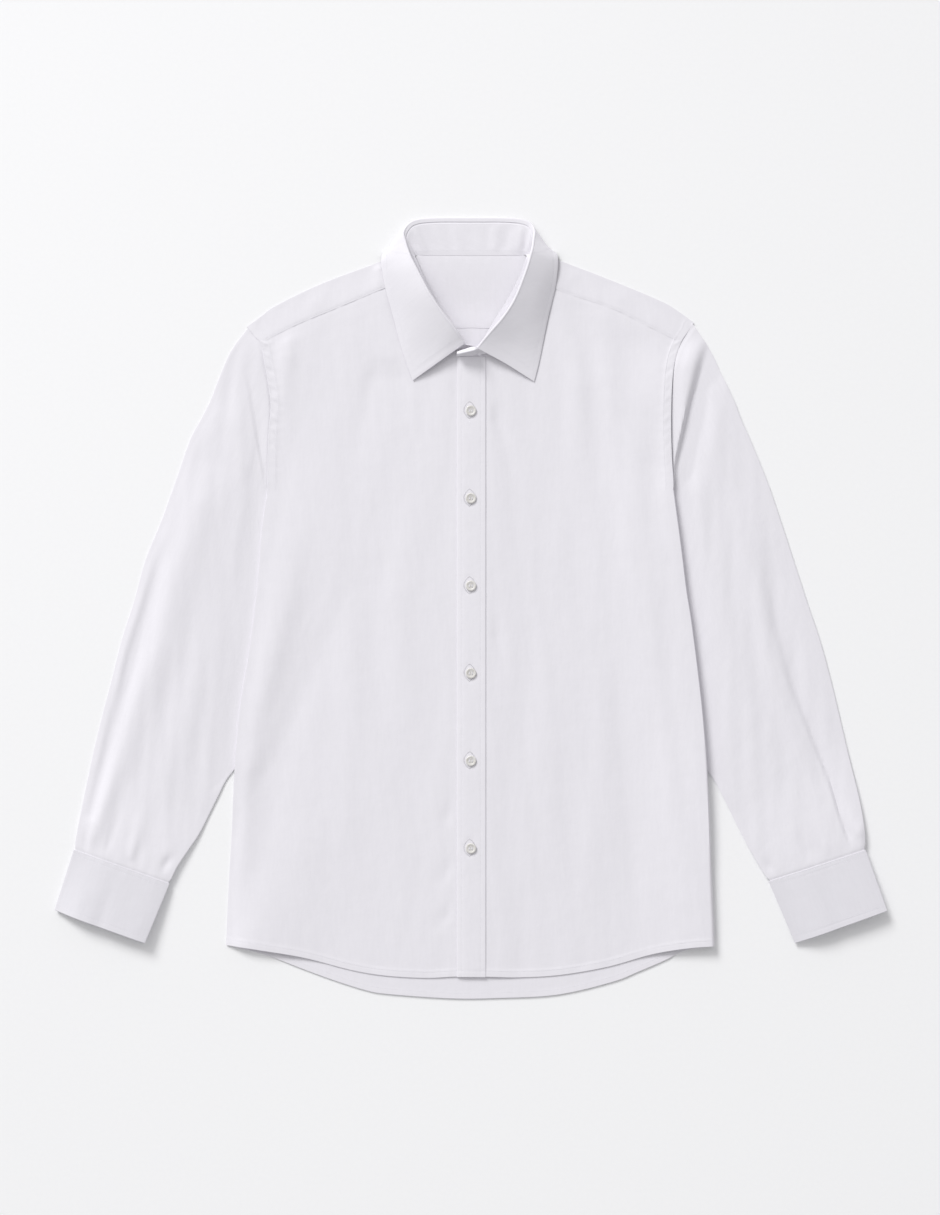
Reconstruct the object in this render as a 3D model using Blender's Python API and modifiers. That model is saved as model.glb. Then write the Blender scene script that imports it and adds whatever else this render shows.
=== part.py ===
"""Long sleeve dress shirt, laid flat on its back, buttoned, sleeves drawn in under the sides.

Frame: metres, +Z up off the surface, +Y to the collar, +X to the wearer's left side.
The tables are in millimetres. "right" and "left" are the wearer's sides: right is at -X.
Each cloth piece is an open surface worked out from its tables, with a Solidify wall.
"""

import math

import bmesh
import bpy
import numpy as np

for ob in list(bpy.data.objects):
    bpy.data.objects.remove(ob, do_unlink=True)

NAME = "long_sleeve_dress_shirt"

# ---- driving sizes (mm) ------------------------------------------------------------
CLOTH = 1.0            # wall of the shirting
BAND = 1.4             # wall of the placket and the cuffs, which are doubled
COLLAR = 1.2           # wall of the collar leaf and stand
SEAM = 0.25            # each piece stops this far short of its seam line
FLOOR_MID = CLOTH / 2  # mid-surface of cloth that rests on the surface
LIE = 2.5              # mid-surface of the fronts over the back panel
OVER_SLEEVE = 2.5      # how much higher the fronts run over a sleeve
TUCK = 2.8             # rise of the turned-under strip over a sleeve
NECK_LIFT = 2.0        # rise of the yoke over the collar leaf behind the neck
EDGE_PUFF = 1.9        # loose roll of the side edges below the sleeves
CENTRE = 13.5          # the right front's edge runs this far past the centre line
LAP = 8.0              # the left front's edge, under the placket
PLACKET = (-14.0, 15.6)
PLACKET_TOP = 261.0
PLACKET_Z = 4.8        # mid-surface of the placket
ROLL = 1.0             # radius of the collar's turn
LAYER_GAP = 0.35       # air between cloth that lies on cloth, where nothing is sewn
FOOT_GAP = 0.9         # the stand's foot, mid-surface to the top of the cloth under it
LAP_GAP = 0.65         # the same where the stand's left end laps over the placket
TURN_MIN = 0.8         # least radius of a front's turned side edge
TURN_LAND = 16.0       # a sleeve nearer to the edge than this has no room for its own step
STEP_OFFSETS = (4.0, 7.5, 11.0, 14.5)    # points of the turned strip's step, in from the sleeve
HEM_DROP = 0.3         # the placket's end, below the fronts' hem
TIP_TRIM = (-0.3, -0.1)                  # keeps the yoke's shoulder tip off the sleeve's
CENTRE_RISE = {-1: (24.0, -0.6), 1: (26.0, 0.8)}    # fronts at the placket: reach and rise
CUFF_SWELL, CUFF_DENT, CUFF_DRAW = 0.65, 0.75, 0.5   # belly, middle crease, pull of the seam
DENT_WIDE = 0.13       # half width of that crease, as a share of the cuff
DIVE = 1.1             # fall of the placket's left edge to the right front
BUTTON_X, BUTTON_TOP_Y, BUTTON_PITCH, BUTTON_COUNT = 0.5, 204.9, 90.9, 6
BUTTON_R = 5.65
BUTTON_GAP = 0.3       # the button's back, above the placket


def table(names, *rows):
    """A short table: each named column comes back as an array."""
    return dict(zip(names.split(), np.array(rows, float).T))


def ramp(a, b, x):
    """Soft step from 0 at a to 1 at b."""
    t = np.clip((np.asarray(x, float) - a) / (b - a), 0.0, 1.0)
    return t * t * (3.0 - 2.0 * t)


# ---- outline tables: `right` and `left` are distances out from the centre line -------
# body side: the edge where each front turns under
SIDE = table("y right left",
             (-350.0, 253.8, 253.0), (-321.0, 252.8, 252.1), (-278.0, 250.6, 250.3),
             (-233.0, 248.0, 248.5), (-184.0, 246.0, 246.4), (-146.0, 243.5, 244.1),
             (-102.0, 239.1, 240.1), (-58.0, 231.8, 235.0), (-12.0, 225.2, 229.0),
             (16.0, 222.0, 224.5), (45.0, 219.4, 220.9), (74.0, 217.2, 217.3),
             (100.0, 214.2, 213.8), (122.7, 210.6, 210.8))
# side seam on the underside, between the turned-under strip and the back panel
SIDE_SEAM = table("y out",
                  (-352.0, 245.5), (-320.0, 244.5), (-260.0, 241.0), (-200.0, 237.0),
                  (-163.0, 226.0), (-130.0, 211.0), (-96.0, 194.0), (-44.0, 172.0),
                  (-10.0, 157.0), (29.0, 144.0), (52.0, 137.0))
# lower armhole, hidden under the body: it runs in from the side edge to the side seam
UNDERARM = table("y out",
                 (52.0, 137.0), (57.0, 152.0), (63.0, 162.0), (76.0, 182.0),
                 (92.0, 196.0), (108.0, 205.0), (122.7, 210.6))
# visible armhole, from the shoulder tip down to where the body's edge crosses it
ARMHOLE = {
    -1: table("out y", (232.4, 292.2), (224.1, 281.8), (218.3, 275.0), (214.8, 256.9),
              (211.1, 237.1), (208.2, 215.3), (208.2, 203.3), (210.1, 183.0),
              (211.1, 153.9), (210.6, 122.7)),
    1: table("out y", (232.4, 296.4), (225.2, 286.0), (218.6, 275.1), (212.1, 254.8),
             (209.1, 225.7), (208.4, 189.3), (209.0, 160.2), (210.8, 122.7)),
}
SHOULDER = {
    -1: table("out y", (232.4, 292.2), (216.8, 303.7), (202.3, 314.1), (153.9, 337.4),
              (90.5, 360.9), (66.0, 370.4)),
    1: table("out y", (232.4, 296.4), (216.8, 307.8), (197.1, 319.3), (139.6, 343.2),
             (88.6, 362.3), (66.0, 370.4)),
}
YOKE_FRONT = {
    -1: table("out y", (218.3, 275.0), (198.1, 286.0), (177.3, 295.9), (142.4, 310.3),
              (114.9, 321.8), (90.5, 331.8), (50.0, 345.5)),
    1: table("out y", (218.6, 275.1), (209.6, 280.3), (187.7, 291.2), (149.2, 310.4),
             (101.1, 326.8), (51.2, 345.2)),
}
YOKE_BACK = table("out y", (0.0, 291.2), (100.0, 288.0), (160.0, 279.0), (213.5, 257.0))
# neckline of the body, from the shoulder down to the centre front
YOKE_NECK = {
    -1: table("out y", (66.0, 370.4), (63.2, 366.0), (61.0, 361.5), (56.0, 353.5),
              (50.0, 345.5)),
    1: table("out y", (66.0, 370.4), (63.6, 366.0), (61.6, 361.5), (57.2, 353.5),
             (51.2, 345.2)),
}
FRONT_NECK = {
    -1: table("out y", (50.0, 345.5), (36.2, 318.5), (23.0, 299.0), (13.0, 284.0),
              (4.0, 271.5), (-5.0, 268.0), (-CENTRE, 266.0)),
    1: table("out y", (51.2, 345.2), (39.4, 320.5), (26.8, 301.5), (16.0, 284.0),
             (LAP, 268.0)),
}
BACK_NECK_Y = 365.0
HEM_FRONT = table("x y",
                  (-253.7, -350.3), (-222.7, -354.5), (-174.2, -363.0), (-124.3, -376.1),
                  (-87.9, -382.1), (-46.7, -384.4), (-15.7, -383.0), (15.1, -383.0),
                  (50.4, -383.8), (93.1, -381.3), (143.0, -372.7), (189.8, -359.4),
                  (226.8, -352.9), (252.8, -350.7))
HEM_BACK = table("x y",
                 (-247.0, -351.5), (-210.6, -361.4), (-174.2, -375.2), (-143.3, -386.5),
                 (-110.8, -396.8), (-87.9, -401.1), (-21.3, -405.8), (26.2, -405.5),
                 (89.3, -402.1), (147.0, -388.8), (174.8, -377.9), (202.7, -365.9),
                 (221.0, -356.7), (247.0, -351.5))
# sleeves: outer edge and inner edge, each from the armhole to the cuff
SLEEVE_OUT = {
    -1: table("out y", (232.4, 292.2), (250.1, 268.3), (261.6, 242.3), (271.3, 216.3),
              (281.3, 195.5), (292.0, 174.7), (304.2, 138.3), (320.8, 91.5),
              (337.7, 49.9), (349.1, 8.3), (362.4, -33.3), (372.9, -74.9),
              (383.9, -116.5), (393.6, -158.1), (402.2, -199.7), (407.8, -228.0),
              (411.7, -250.6)),
    1: table("out y", (232.4, 296.4), (251.7, 266.8), (262.5, 243.0), (274.8, 216.3),
             (282.4, 195.5), (291.2, 174.7), (307.7, 133.1), (321.9, 91.5),
             (335.4, 49.9), (348.9, 8.3), (362.9, -33.3), (374.3, -74.9),
             (384.3, -116.5), (394.0, -158.1), (404.0, -199.7), (408.8, -228.8),
             (409.8, -250.6)),
}
SLEEVE_IN = {
    -1: table("out y", (152.0, 57.0), (158.0, 29.0), (172.0, -10.0), (187.0, -44.0),
              (208.0, -95.7), (225.0, -130.0), (242.8, -163.3), (254.3, -178.9),
              (264.7, -199.7), (281.3, -233.0), (292.5, -250.0), (305.0, -269.0),
              (312.6, -285.3)),
    1: table("out y", (152.0, 57.0), (158.0, 29.0), (172.0, -10.0), (187.0, -44.0),
             (208.0, -95.7), (225.0, -130.0), (242.8, -163.3), (253.5, -178.9),
             (265.2, -201.0), (280.3, -231.9), (290.7, -251.7), (301.1, -269.4),
             (310.0, -283.3)),
}
# cuffs: corners at the seam and at the free edge, outer side first
CUFF = {
    -1: table("out y", (411.8, -251.0), (312.7, -285.8), (431.7, -313.5), (337.6, -347.0)),
    1: table("out y", (409.9, -251.0), (310.0, -283.8), (431.5, -313.8), (337.5, -347.7)),
}
CUFF_REST, CUFF_HIGH = BAND / 2, 5.2
CUFF_GAP = 0.3         # between a sleeve's end and its cuff

# soft folds: a bump (or a trough, below 0) of a half width along a line, mm
FRONT_FOLDS = {
    -1: table("x0 y0 x1 y1 wide high",
              (142, 30, 168, -46, 12, -0.4), (168, -46, 194, -112, 12, -0.4),
              (194, -112, 213, -176, 12, -0.5), (213, -176, 226, -264, 12, -0.7),
              (226, -264, 240, -322, 11, -0.7), (196, 196, 186, 60, 15, 0.7),
              (92, 270, 118, 150, 17, 0.6), (70, 60, 84, -150, 20, 0.5),
              (120, -60, 128, -300, 18, 0.5)),
    1: table("x0 y0 x1 y1 wide high",
             (150, 246, 162, 40, 17, 0.7), (186, 236, 178, 120, 11, -0.4),
             (112, 252, 108, 60, 18, 0.5), (128, 20, 136, -230, 18, 0.6),
             (84, -30, 80, -300, 18, 0.5), (196, -60, 214, -300, 15, 0.6)),
}
SLEEVE_FOLDS = {
    -1: table("x0 y0 x1 y1 wide high",
              (270, 190, 322, 0, 13, 0.5), (322, 0, 351, -97, 11, 1.0),
              (351, -97, 382, -200, 11, 1.0), (382, -200, 397, -246, 8, 0.9),
              (300, 190, 345, -10, 11, -0.5), (345, -10, 398, -230, 9, -0.6),
              (262, 60, 330, -220, 20, 0.6)),
    1: table("x0 y0 x1 y1 wide high",
             (226, 264, 222, 224, 8, 2.3), (222, 224, 215, 164, 7, 2.3),
             (310, 30, 333, -73, 12, -0.8), (333, -73, 374, -181, 10, -0.9),
             (374, -181, 396, -250, 7, -0.8), (295, 60, 318, -80, 13, 0.8),
             (318, -80, 372, -220, 12, 0.8), (250, 60, 300, -200, 20, 0.6)),
}

# collar, by stations from the centre front round to the centre back: the stand's foot,
# the fold, the belly of the leaf and the leaf's outer edge
COLLAR_ROWS = {
    -1: table("fx fy  tx ty tz  bx by bz  ex ey ez",
              (5.0, 270.0, 5.7, 274.6, 17.0, 32.0, 257.0, 11.5, 59.8, 236.6, 4.7),
              (13.0, 283.0, 16.1, 289.1, 20.5, 40.5, 272.0, 12.5, 65.6, 252.5, 4.6),
              (22.5, 298.5, 30.7, 307.8, 22.5, 51.0, 294.0, 14.0, 72.6, 273.5, 4.6),
              (35.5, 318.0, 43.7, 327.6, 23.5, 63.0, 317.0, 15.0, 80.0, 302.0, 4.6),
              (46.5, 340.0, 55.6, 350.5, 23.0, 74.5, 342.0, 14.0, 87.8, 330.0, 4.8),
              (52.5, 353.0, 62.0, 363.5, 21.0, 81.5, 356.0, 12.5, 91.6, 350.0, 6.3),
              (55.5, 360.0, 65.0, 371.5, 18.5, 84.0, 364.5, 10.5, 92.4, 361.8, 6.2),
              (57.5, 364.5, 67.5, 380.0, 15.5, 83.5, 373.0, 7.5, 89.5, 368.0, 1.5),
              (56.5, 366.6, 69.2, 391.0, 10.0, 79.0, 381.0, 3.6, 74.0, 363.5, 0.6),
              (49.0, 366.6, 61.0, 401.3, 4.4, 66.0, 386.0, 1.0, 58.0, 361.5, 0.6),
              (30.0, 366.6, 42.0, 405.0, 2.0, 42.0, 384.0, 0.6, 38.0, 361.0, 0.6),
              (0.0, 366.6, 0.0, 405.5, 1.6, 0.0, 384.0, 0.6, 0.0, 361.0, 0.6)),
    1: table("fx fy  tx ty tz  bx by bz  ex ey ez",
             (8.5, 264.5, 6.8, 269.8, 16.5, 36.0, 255.0, 10.5, 66.0, 235.5, 4.7),
             (16.5, 283.0, 20.0, 285.0, 20.0, 45.0, 272.0, 12.5, 70.5, 253.0, 4.6),
             (26.5, 301.0, 34.0, 301.0, 22.5, 55.0, 291.0, 14.0, 75.0, 275.0, 4.6),
             (38.5, 320.0, 46.0, 320.0, 23.5, 65.0, 314.0, 15.0, 80.5, 302.0, 4.6),
             (49.5, 341.0, 57.0, 348.0, 23.0, 75.0, 340.0, 14.0, 87.3, 330.0, 4.8),
             (54.5, 353.0, 62.0, 365.0, 21.0, 80.0, 357.0, 12.5, 90.0, 348.5, 6.3),
             (57.0, 361.0, 64.0, 373.0, 18.5, 82.0, 366.0, 10.5, 90.6, 363.0, 6.2),
             (58.5, 365.0, 65.0, 381.0, 15.5, 79.5, 374.5, 7.5, 87.5, 369.0, 1.5),
             (57.0, 366.6, 66.0, 392.0, 10.0, 74.5, 381.0, 3.6, 73.0, 363.5, 0.6),
             (49.0, 366.6, 60.0, 401.4, 4.4, 64.0, 386.0, 1.0, 57.0, 361.5, 0.6),
             (30.0, 366.6, 41.0, 405.0, 2.0, 42.0, 384.0, 0.6, 38.0, 361.0, 0.6),
             (0.0, 366.6, 0.0, 405.5, 1.6, 0.0, 384.0, 0.6, 0.0, 361.0, 0.6)),
}
# lapped ends of the stand past the collar points: the left end lies over the right one
STAND_END = {
    -1: table("fx fy fz  tx ty tz", (-5.0, 266.5, 3.3, -3.5, 271.5, 13.0)),
    1: table("fx fy fz  tx ty tz", (2.0, 261.6, 6.0, 0.5, 268.4, 14.0),
             (-7.0, 260.4, 6.0, -6.5, 265.2, 11.5), (-15.0, 259.8, 6.0, -13.5, 263.6, 9.5)),
}


# ---- lines and surfaces ---------------------------------------------------------------
def spline(points, steps=6):
    """Catmull-Rom line through the points."""
    p = np.asarray(points, float)
    p = np.vstack([2 * p[0] - p[1], p, 2 * p[-1] - p[-2]])
    out = []
    for i in range(1, len(p) - 2):
        a, b, c, d = p[i - 1], p[i], p[i + 1], p[i + 2]
        for k in range(steps):
            t = k / steps
            out.append(0.5 * (2 * b + (c - a) * t + (2 * a - 5 * b + 4 * c - d) * t * t
                              + (3 * b - a - 3 * c + d) * t ** 3))
    out.append(p[-2])
    return np.array(out)


class Line:
    """A smooth line, read at a share of its length."""

    def __init__(self, points, smooth=True):
        self.p = spline(points) if smooth else np.asarray(points, float)
        step = np.linalg.norm(np.diff(self.p, axis=0), axis=1)
        self.s = np.concatenate([[0.0], np.cumsum(step)])

    def at(self, share):
        s = np.asarray(share, float) * self.s[-1]
        return np.stack([np.interp(s, self.s, c) for c in self.p.T], -1)

    def aside(self, distance):
        """The same line moved to its left by a distance."""
        t = np.gradient(self.p, axis=0)
        t /= np.linalg.norm(t, axis=1)[:, None]
        moved = self.p + distance * np.stack([-t[:, 1], t[:, 0]], -1)
        return Line(moved, smooth=False)


def line_of(tab, a="out", b="y"):
    return Line(np.stack([tab[a], tab[b]], -1))


# heights at which every piece that meets the armhole has a point on it, tip first
ARM_Y = {-1: [292.2, 275.0, 257.0, 235.0, 208.0, 165.0, 122.7, 108.0, 92.0, 76.0, 63.0, 57.0],
         1: [296.4, 275.1, 257.0, 235.0, 208.0, 165.0, 122.7, 108.0, 92.0, 76.0, 63.0, 57.0]}


def armhole(side, offset, ys):
    """Points of the armhole seam at the given heights; offset is off the body."""
    arm, low = ARMHOLE[side], UNDERARM
    pts = np.vstack([np.stack([arm["out"], arm["y"]], -1)[:-1],
                     np.stack([low["out"], low["y"]], -1)[::-1]])
    line = Line(pts).aside(offset).p[::-1]
    nodes = np.array(ARM_Y[side] + [UNDERARM["y"][0]])
    nodes[0] = line[-1, 1]
    xs = np.interp(nodes, line[:, 1], line[:, 0])
    ys = np.minimum(np.asarray(ys, float), nodes[0])
    return np.stack([np.interp(ys, nodes[::-1], xs[::-1]), ys], -1)


def coons(bottom, top, left, right, u, v):
    """Surface spanned by four border lines, as rows of points."""
    u, v = u[None, :, None], v[:, None, None]
    flat = ((1 - v) * bottom[None] + v * top[None]
            + (1 - u) * left[:, None] + u * right[:, None])
    corners = ((1 - u) * (1 - v) * bottom[0] + u * (1 - v) * bottom[-1]
               + (1 - u) * v * top[0] + u * v * top[-1])
    return flat - corners


# ---- heights ----------------------------------------------------------------------------
def side_x(side, y):
    return np.interp(y, SIDE["y"], SIDE["right" if side < 0 else "left"])


def sleeve_inner_x(side, y):
    """Inner edge of the sleeve that lies under the body, with the lower armhole above it."""
    tab = SLEEVE_IN[side]
    ys = np.concatenate([tab["y"][::-1], UNDERARM["y"][2:]])
    xs = np.concatenate([tab["out"][::-1], UNDERARM["out"][2:]])
    y = np.asarray(y, float)
    return np.interp(y, ys, xs) + 1.2 * np.maximum(y - 122.7, 0.0)


def folds(tab, out, y):
    """The highest ridge and the deepest trough that reach a point, together."""
    z = np.zeros((2,) + np.broadcast(out, y).shape)
    for x0, y0, x1, y1, wide, high in zip(*tab.values()):
        dx, dy = x1 - x0, y1 - y0
        t = np.clip(((out - x0) * dx + (y - y0) * dy) / (dx * dx + dy * dy), 0, 1)
        d = np.hypot(out - x0 - t * dx, y - y0 - t * dy) / wide
        bump = high * np.clip(1 - d * d, 0, 1) ** 2
        z = np.array([np.maximum(z[0], bump), np.minimum(z[1], bump)])
    return z.sum(axis=0)


def neck_lift(out, y):
    return NECK_LIFT * ramp(108.0, 90.0, np.abs(out)) * ramp(340.0, 352.0, y)


def front_z(side, out, y):
    """Mid-surface of a front or of the front part of the yoke."""
    span = 38.0 if side < 0 else 62.0
    over = ramp(-span, -12.0, out - sleeve_inner_x(side, y))
    z = LIE + OVER_SLEEVE * over + neck_lift(out, y)
    z += EDGE_PUFF * (1 - over) * ramp(-26.0, 0.0, out - side_x(side, y)) * ramp(-90, -150, y)
    calm = ramp(0, 24, side_x(side, y) - out) * ramp(18, 40, out)
    calm = calm * (1 - ramp(225, 250, y) * ramp(112, 96, out))
    z = z + calm * folds(FRONT_FOLDS[side], out, y)
    reach, rise = CENTRE_RISE[side]
    z = z + rise * ramp(reach, reach - 9.0, out)
    return np.maximum(z, strip_z(side, out, y) + CLOTH + LAYER_GAP)


def strip_z(side, out, y):
    """Mid-surface of the strip turned under at the side: over the sleeve, then the floor."""
    return FLOOR_MID + TUCK * ramp(-15.5, -4.5, out - sleeve_inner_x(side, y))


def sleeve_z(side, out, y, t, v):
    """Mid-surface of a sleeve's upper layer; it lies flat where the body covers it."""
    free = np.maximum(ramp(5.0, 28.0, out - side_x(side, y)), ramp(118.0, 150.0, y))
    free = np.maximum(free, ramp(-170.0, -195.0, y))
    belly = np.sin(np.pi * np.clip(t, 0, 1)) ** 0.8
    calm = ramp(0.0, 0.1, t) * ramp(0.0, 0.1, 1 - t)
    z = 2.0 + free * (0.55 + 0.75 * belly * ramp(0.03, 0.2, v))
    return z + free * calm * folds(SLEEVE_FOLDS[side], out, y)


# ---- building cloth ------------------------------------------------------------------------
collection = bpy.data.collections.new(NAME)
bpy.context.scene.collection.children.link(collection)
origin = bpy.data.objects.new("shirt_origin", None)
collection.objects.link(origin)


def material(name, colour, rough):
    mat = bpy.data.materials.new(name)
    mat.use_nodes = True
    shader = mat.node_tree.nodes["Principled BSDF"]
    shader.inputs["Base Color"].default_value = (*colour, 1.0)
    shader.inputs["Roughness"].default_value = rough
    shader.inputs["Metallic"].default_value = 0.0
    return mat


COTTON = (0.86, 0.87, 0.91)
PEARL = (0.88, 0.87, 0.84)


def cloth(name, patches, wall, rise=0.0):
    """One piece of cloth: its patches are welded along their shared points."""
    mesh = bpy.data.meshes.new(name)
    bm = bmesh.new()
    known = {}

    def vertex(p):
        key = tuple(np.round(p, 2))
        if key not in known:
            known[key] = bm.verts.new([c * 0.001 for c in p])
        return known[key]

    for grid in patches:
        rows = [[vertex(p) for p in row] for row in grid]
        for a, b in zip(rows, rows[1:]):
            for i in range(len(a) - 1):
                ring = []
                for vert in (a[i], a[i + 1], b[i + 1], b[i]):
                    if vert not in ring:
                        ring.append(vert)
                if len(ring) > 2:
                    bm.faces.new(ring)
    bmesh.ops.recalc_face_normals(bm, faces=bm.faces)
    bm.to_mesh(mesh)
    bm.free()
    ob = bpy.data.objects.new(name, mesh)
    collection.objects.link(ob)
    ob.parent = origin
    solid = ob.modifiers.new("wall", "SOLIDIFY")
    solid.thickness = wall * 0.001
    solid.offset = rise
    ob.data.materials.append(material(name, COTTON, 0.8))
    ob.data.shade_smooth()
    return ob


def raised(flat, z):
    return np.concatenate([flat, np.broadcast_to(z, flat.shape[:-1])[..., None]], -1)


# ---- fronts ------------------------------------------------------------------------------------
HEM_LINE = Line(np.stack([HEM_FRONT["x"], HEM_FRONT["y"]], -1))
SIDE_ROWS_Y = [-350.0, -340, -325, -300, -270, -235, -205, -185, -165, -145, -120, -90, -60,
               -30, 0, 27, 52, 57, 63, 76, 92, 108, 122.7]


def front(side, name):
    neck, yoke = line_of(FRONT_NECK[side]), line_of(YOKE_FRONT[side])
    top = np.vstack([neck.at(np.linspace(1, 0, 6)), yoke.at(np.linspace(1, 0, 9))[1:]])
    top[:, 1] -= SEAM
    arm_edge = armhole(side, -SEAM, [165.0, 208.0, 235.0, 257.0, 275.0 - SEAM])

    ys = np.array(SIDE_ROWS_Y)
    edge = side_x(side, ys)
    z_top, z_low = front_z(side, edge, ys), strip_z(side, edge, ys)
    radius = np.maximum((z_top - z_low) / 2, TURN_MIN)
    outer = np.vstack([np.stack([edge - radius, ys], -1), arm_edge])
    top[-1] = outer[-1]

    first = -CENTRE if side < 0 else LAP
    u = (top[:, 0] - first) / (top[-1, 0] - first)
    u = np.maximum.accumulate(u)
    u[0] = 0.0
    bottom_x = first + (outer[0, 0] - first) * u
    hem = HEM_LINE.p
    bottom_y = np.interp(side * bottom_x, hem[:, 0], hem[:, 1])
    bottom = np.stack([bottom_x, bottom_y], -1)
    outer[0] = bottom[-1]
    v = (outer[:, 1] - outer[0, 1]) / (outer[-1, 1] - outer[0, 1])
    inner = np.stack([np.full(len(v), first), bottom_y[0] + v * (top[0, 1] - bottom_y[0])], -1)
    flat = coons(bottom, top, inner, outer, u, v)
    z = front_z(side, flat[..., 0], flat[..., 1])
    n = len(ys)
    z[:n, -1] = z_top
    main = raised(flat, z)

    # the turned edge and the strip under it, rows from the hem up to the armhole
    turn_steps, strip_steps = 6, 6
    under = []
    for i in range(n):
        start = main[i, -1]
        y, r = start[1], radius[i]
        angle = np.linspace(math.pi / 2, -math.pi / 2, turn_steps)
        turn = np.stack([edge[i] - r + r * np.cos(angle), np.full(turn_steps, y),
                         z_top[i] - r + r * np.sin(angle)], -1)
        turn[0] = start
        if ys[i] >= UNDERARM["y"][0]:
            end = armhole(side, SEAM, ys[i])[0]
        else:
            end = np.interp(ys[i], SIDE_SEAM["y"], SIDE_SEAM["out"]) + SEAM
        begin = edge[i] - r
        foot = min(float(sleeve_inner_x(side, ys[i])), begin)
        xs = np.array([(begin + foot) / 2, *(foot - d for d in STEP_OFFSETS), end])
        xs = np.clip(xs, end, begin)
        if foot >= begin - TURN_LAND:
            xs = begin + (end - begin) * np.arange(1, strip_steps + 1) / strip_steps
        if i == n - 1:
            xs[:] = begin
        zs = strip_z(side, xs, ys[i])
        zs[xs >= begin - 1e-6] = turn[-1, 2]
        under.append(np.vstack([turn, np.stack([xs, np.full(strip_steps, y), zs], -1)]))
    grids = [main, np.array(under)]
    for g in grids:
        g[..., 0] *= side
    return cloth(name, grids, CLOTH)


front(-1, "front_right")
front(1, "front_left")

# ---- back panel: it rests flat on the surface ------------------------------------------------------
def back_side(side):
    out, top_y = UNDERARM["out"][0], UNDERARM["y"][0]
    low_y = np.array([y for y in SIDE_ROWS_Y if y < top_y])
    low = np.stack([np.interp(low_y, SIDE_SEAM["y"], SIDE_SEAM["out"]) - SEAM, low_y], -1)
    arm = armhole(side, -SEAM, ARM_Y[side][2:-1][::-1])
    return np.vstack([low, [[out - SEAM, top_y + SEAM]], arm])


def yoke_back_y(out):
    tab = spline(np.stack([YOKE_BACK["out"], YOKE_BACK["y"]], -1))
    return np.interp(np.abs(out), tab[:, 0], tab[:, 1])


right_side, left_side = back_side(-1), back_side(1)
right_side[:, 0] *= -1
count = 12
u = np.linspace(0, 1, count)
hem_back = spline(np.stack([HEM_BACK["x"], HEM_BACK["y"]], -1))
bx = right_side[0, 0] + u * (left_side[0, 0] - right_side[0, 0])
bottom = np.stack([bx, np.interp(bx, hem_back[:, 0], hem_back[:, 1])], -1)
tx = right_side[-1, 0] + u * (left_side[-1, 0] - right_side[-1, 0])
top = np.stack([tx, yoke_back_y(tx) - SEAM], -1)
for border in (right_side, left_side):
    border[0] = bottom[0 if border is right_side else -1]
    border[-1] = top[0 if border is right_side else -1]
v = (right_side[:, 1] - right_side[0, 1]) / (right_side[-1, 1] - right_side[0, 1])
cloth("back_panel", [raised(coons(bottom, top, right_side, left_side, u, v), FLOOR_MID)], CLOTH)

# ---- yoke: flat behind, round the shoulder folds, down to the front seams -----------------------------
FOLD_R = (LIE - FLOOR_MID) / 2
YOKE_COLUMNS = 9


def yoke_shoulder(side):
    """Fold columns of one shoulder, from its tip to the neck: base points and way out."""
    line = line_of(SHOULDER[side])
    share = np.linspace(0, 1, YOKE_COLUMNS)
    p = line.at(share)
    ahead, behind = line.at(np.clip(share + 0.02, 0, 1)), line.at(np.clip(share - 0.02, 0, 1))
    t = (ahead - behind) / np.linalg.norm(ahead - behind, axis=1)[:, None]
    way = np.stack([t[:, 1], -t[:, 0]], -1)
    p[0] += TIP_TRIM
    return p - way * FOLD_R, way


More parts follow.
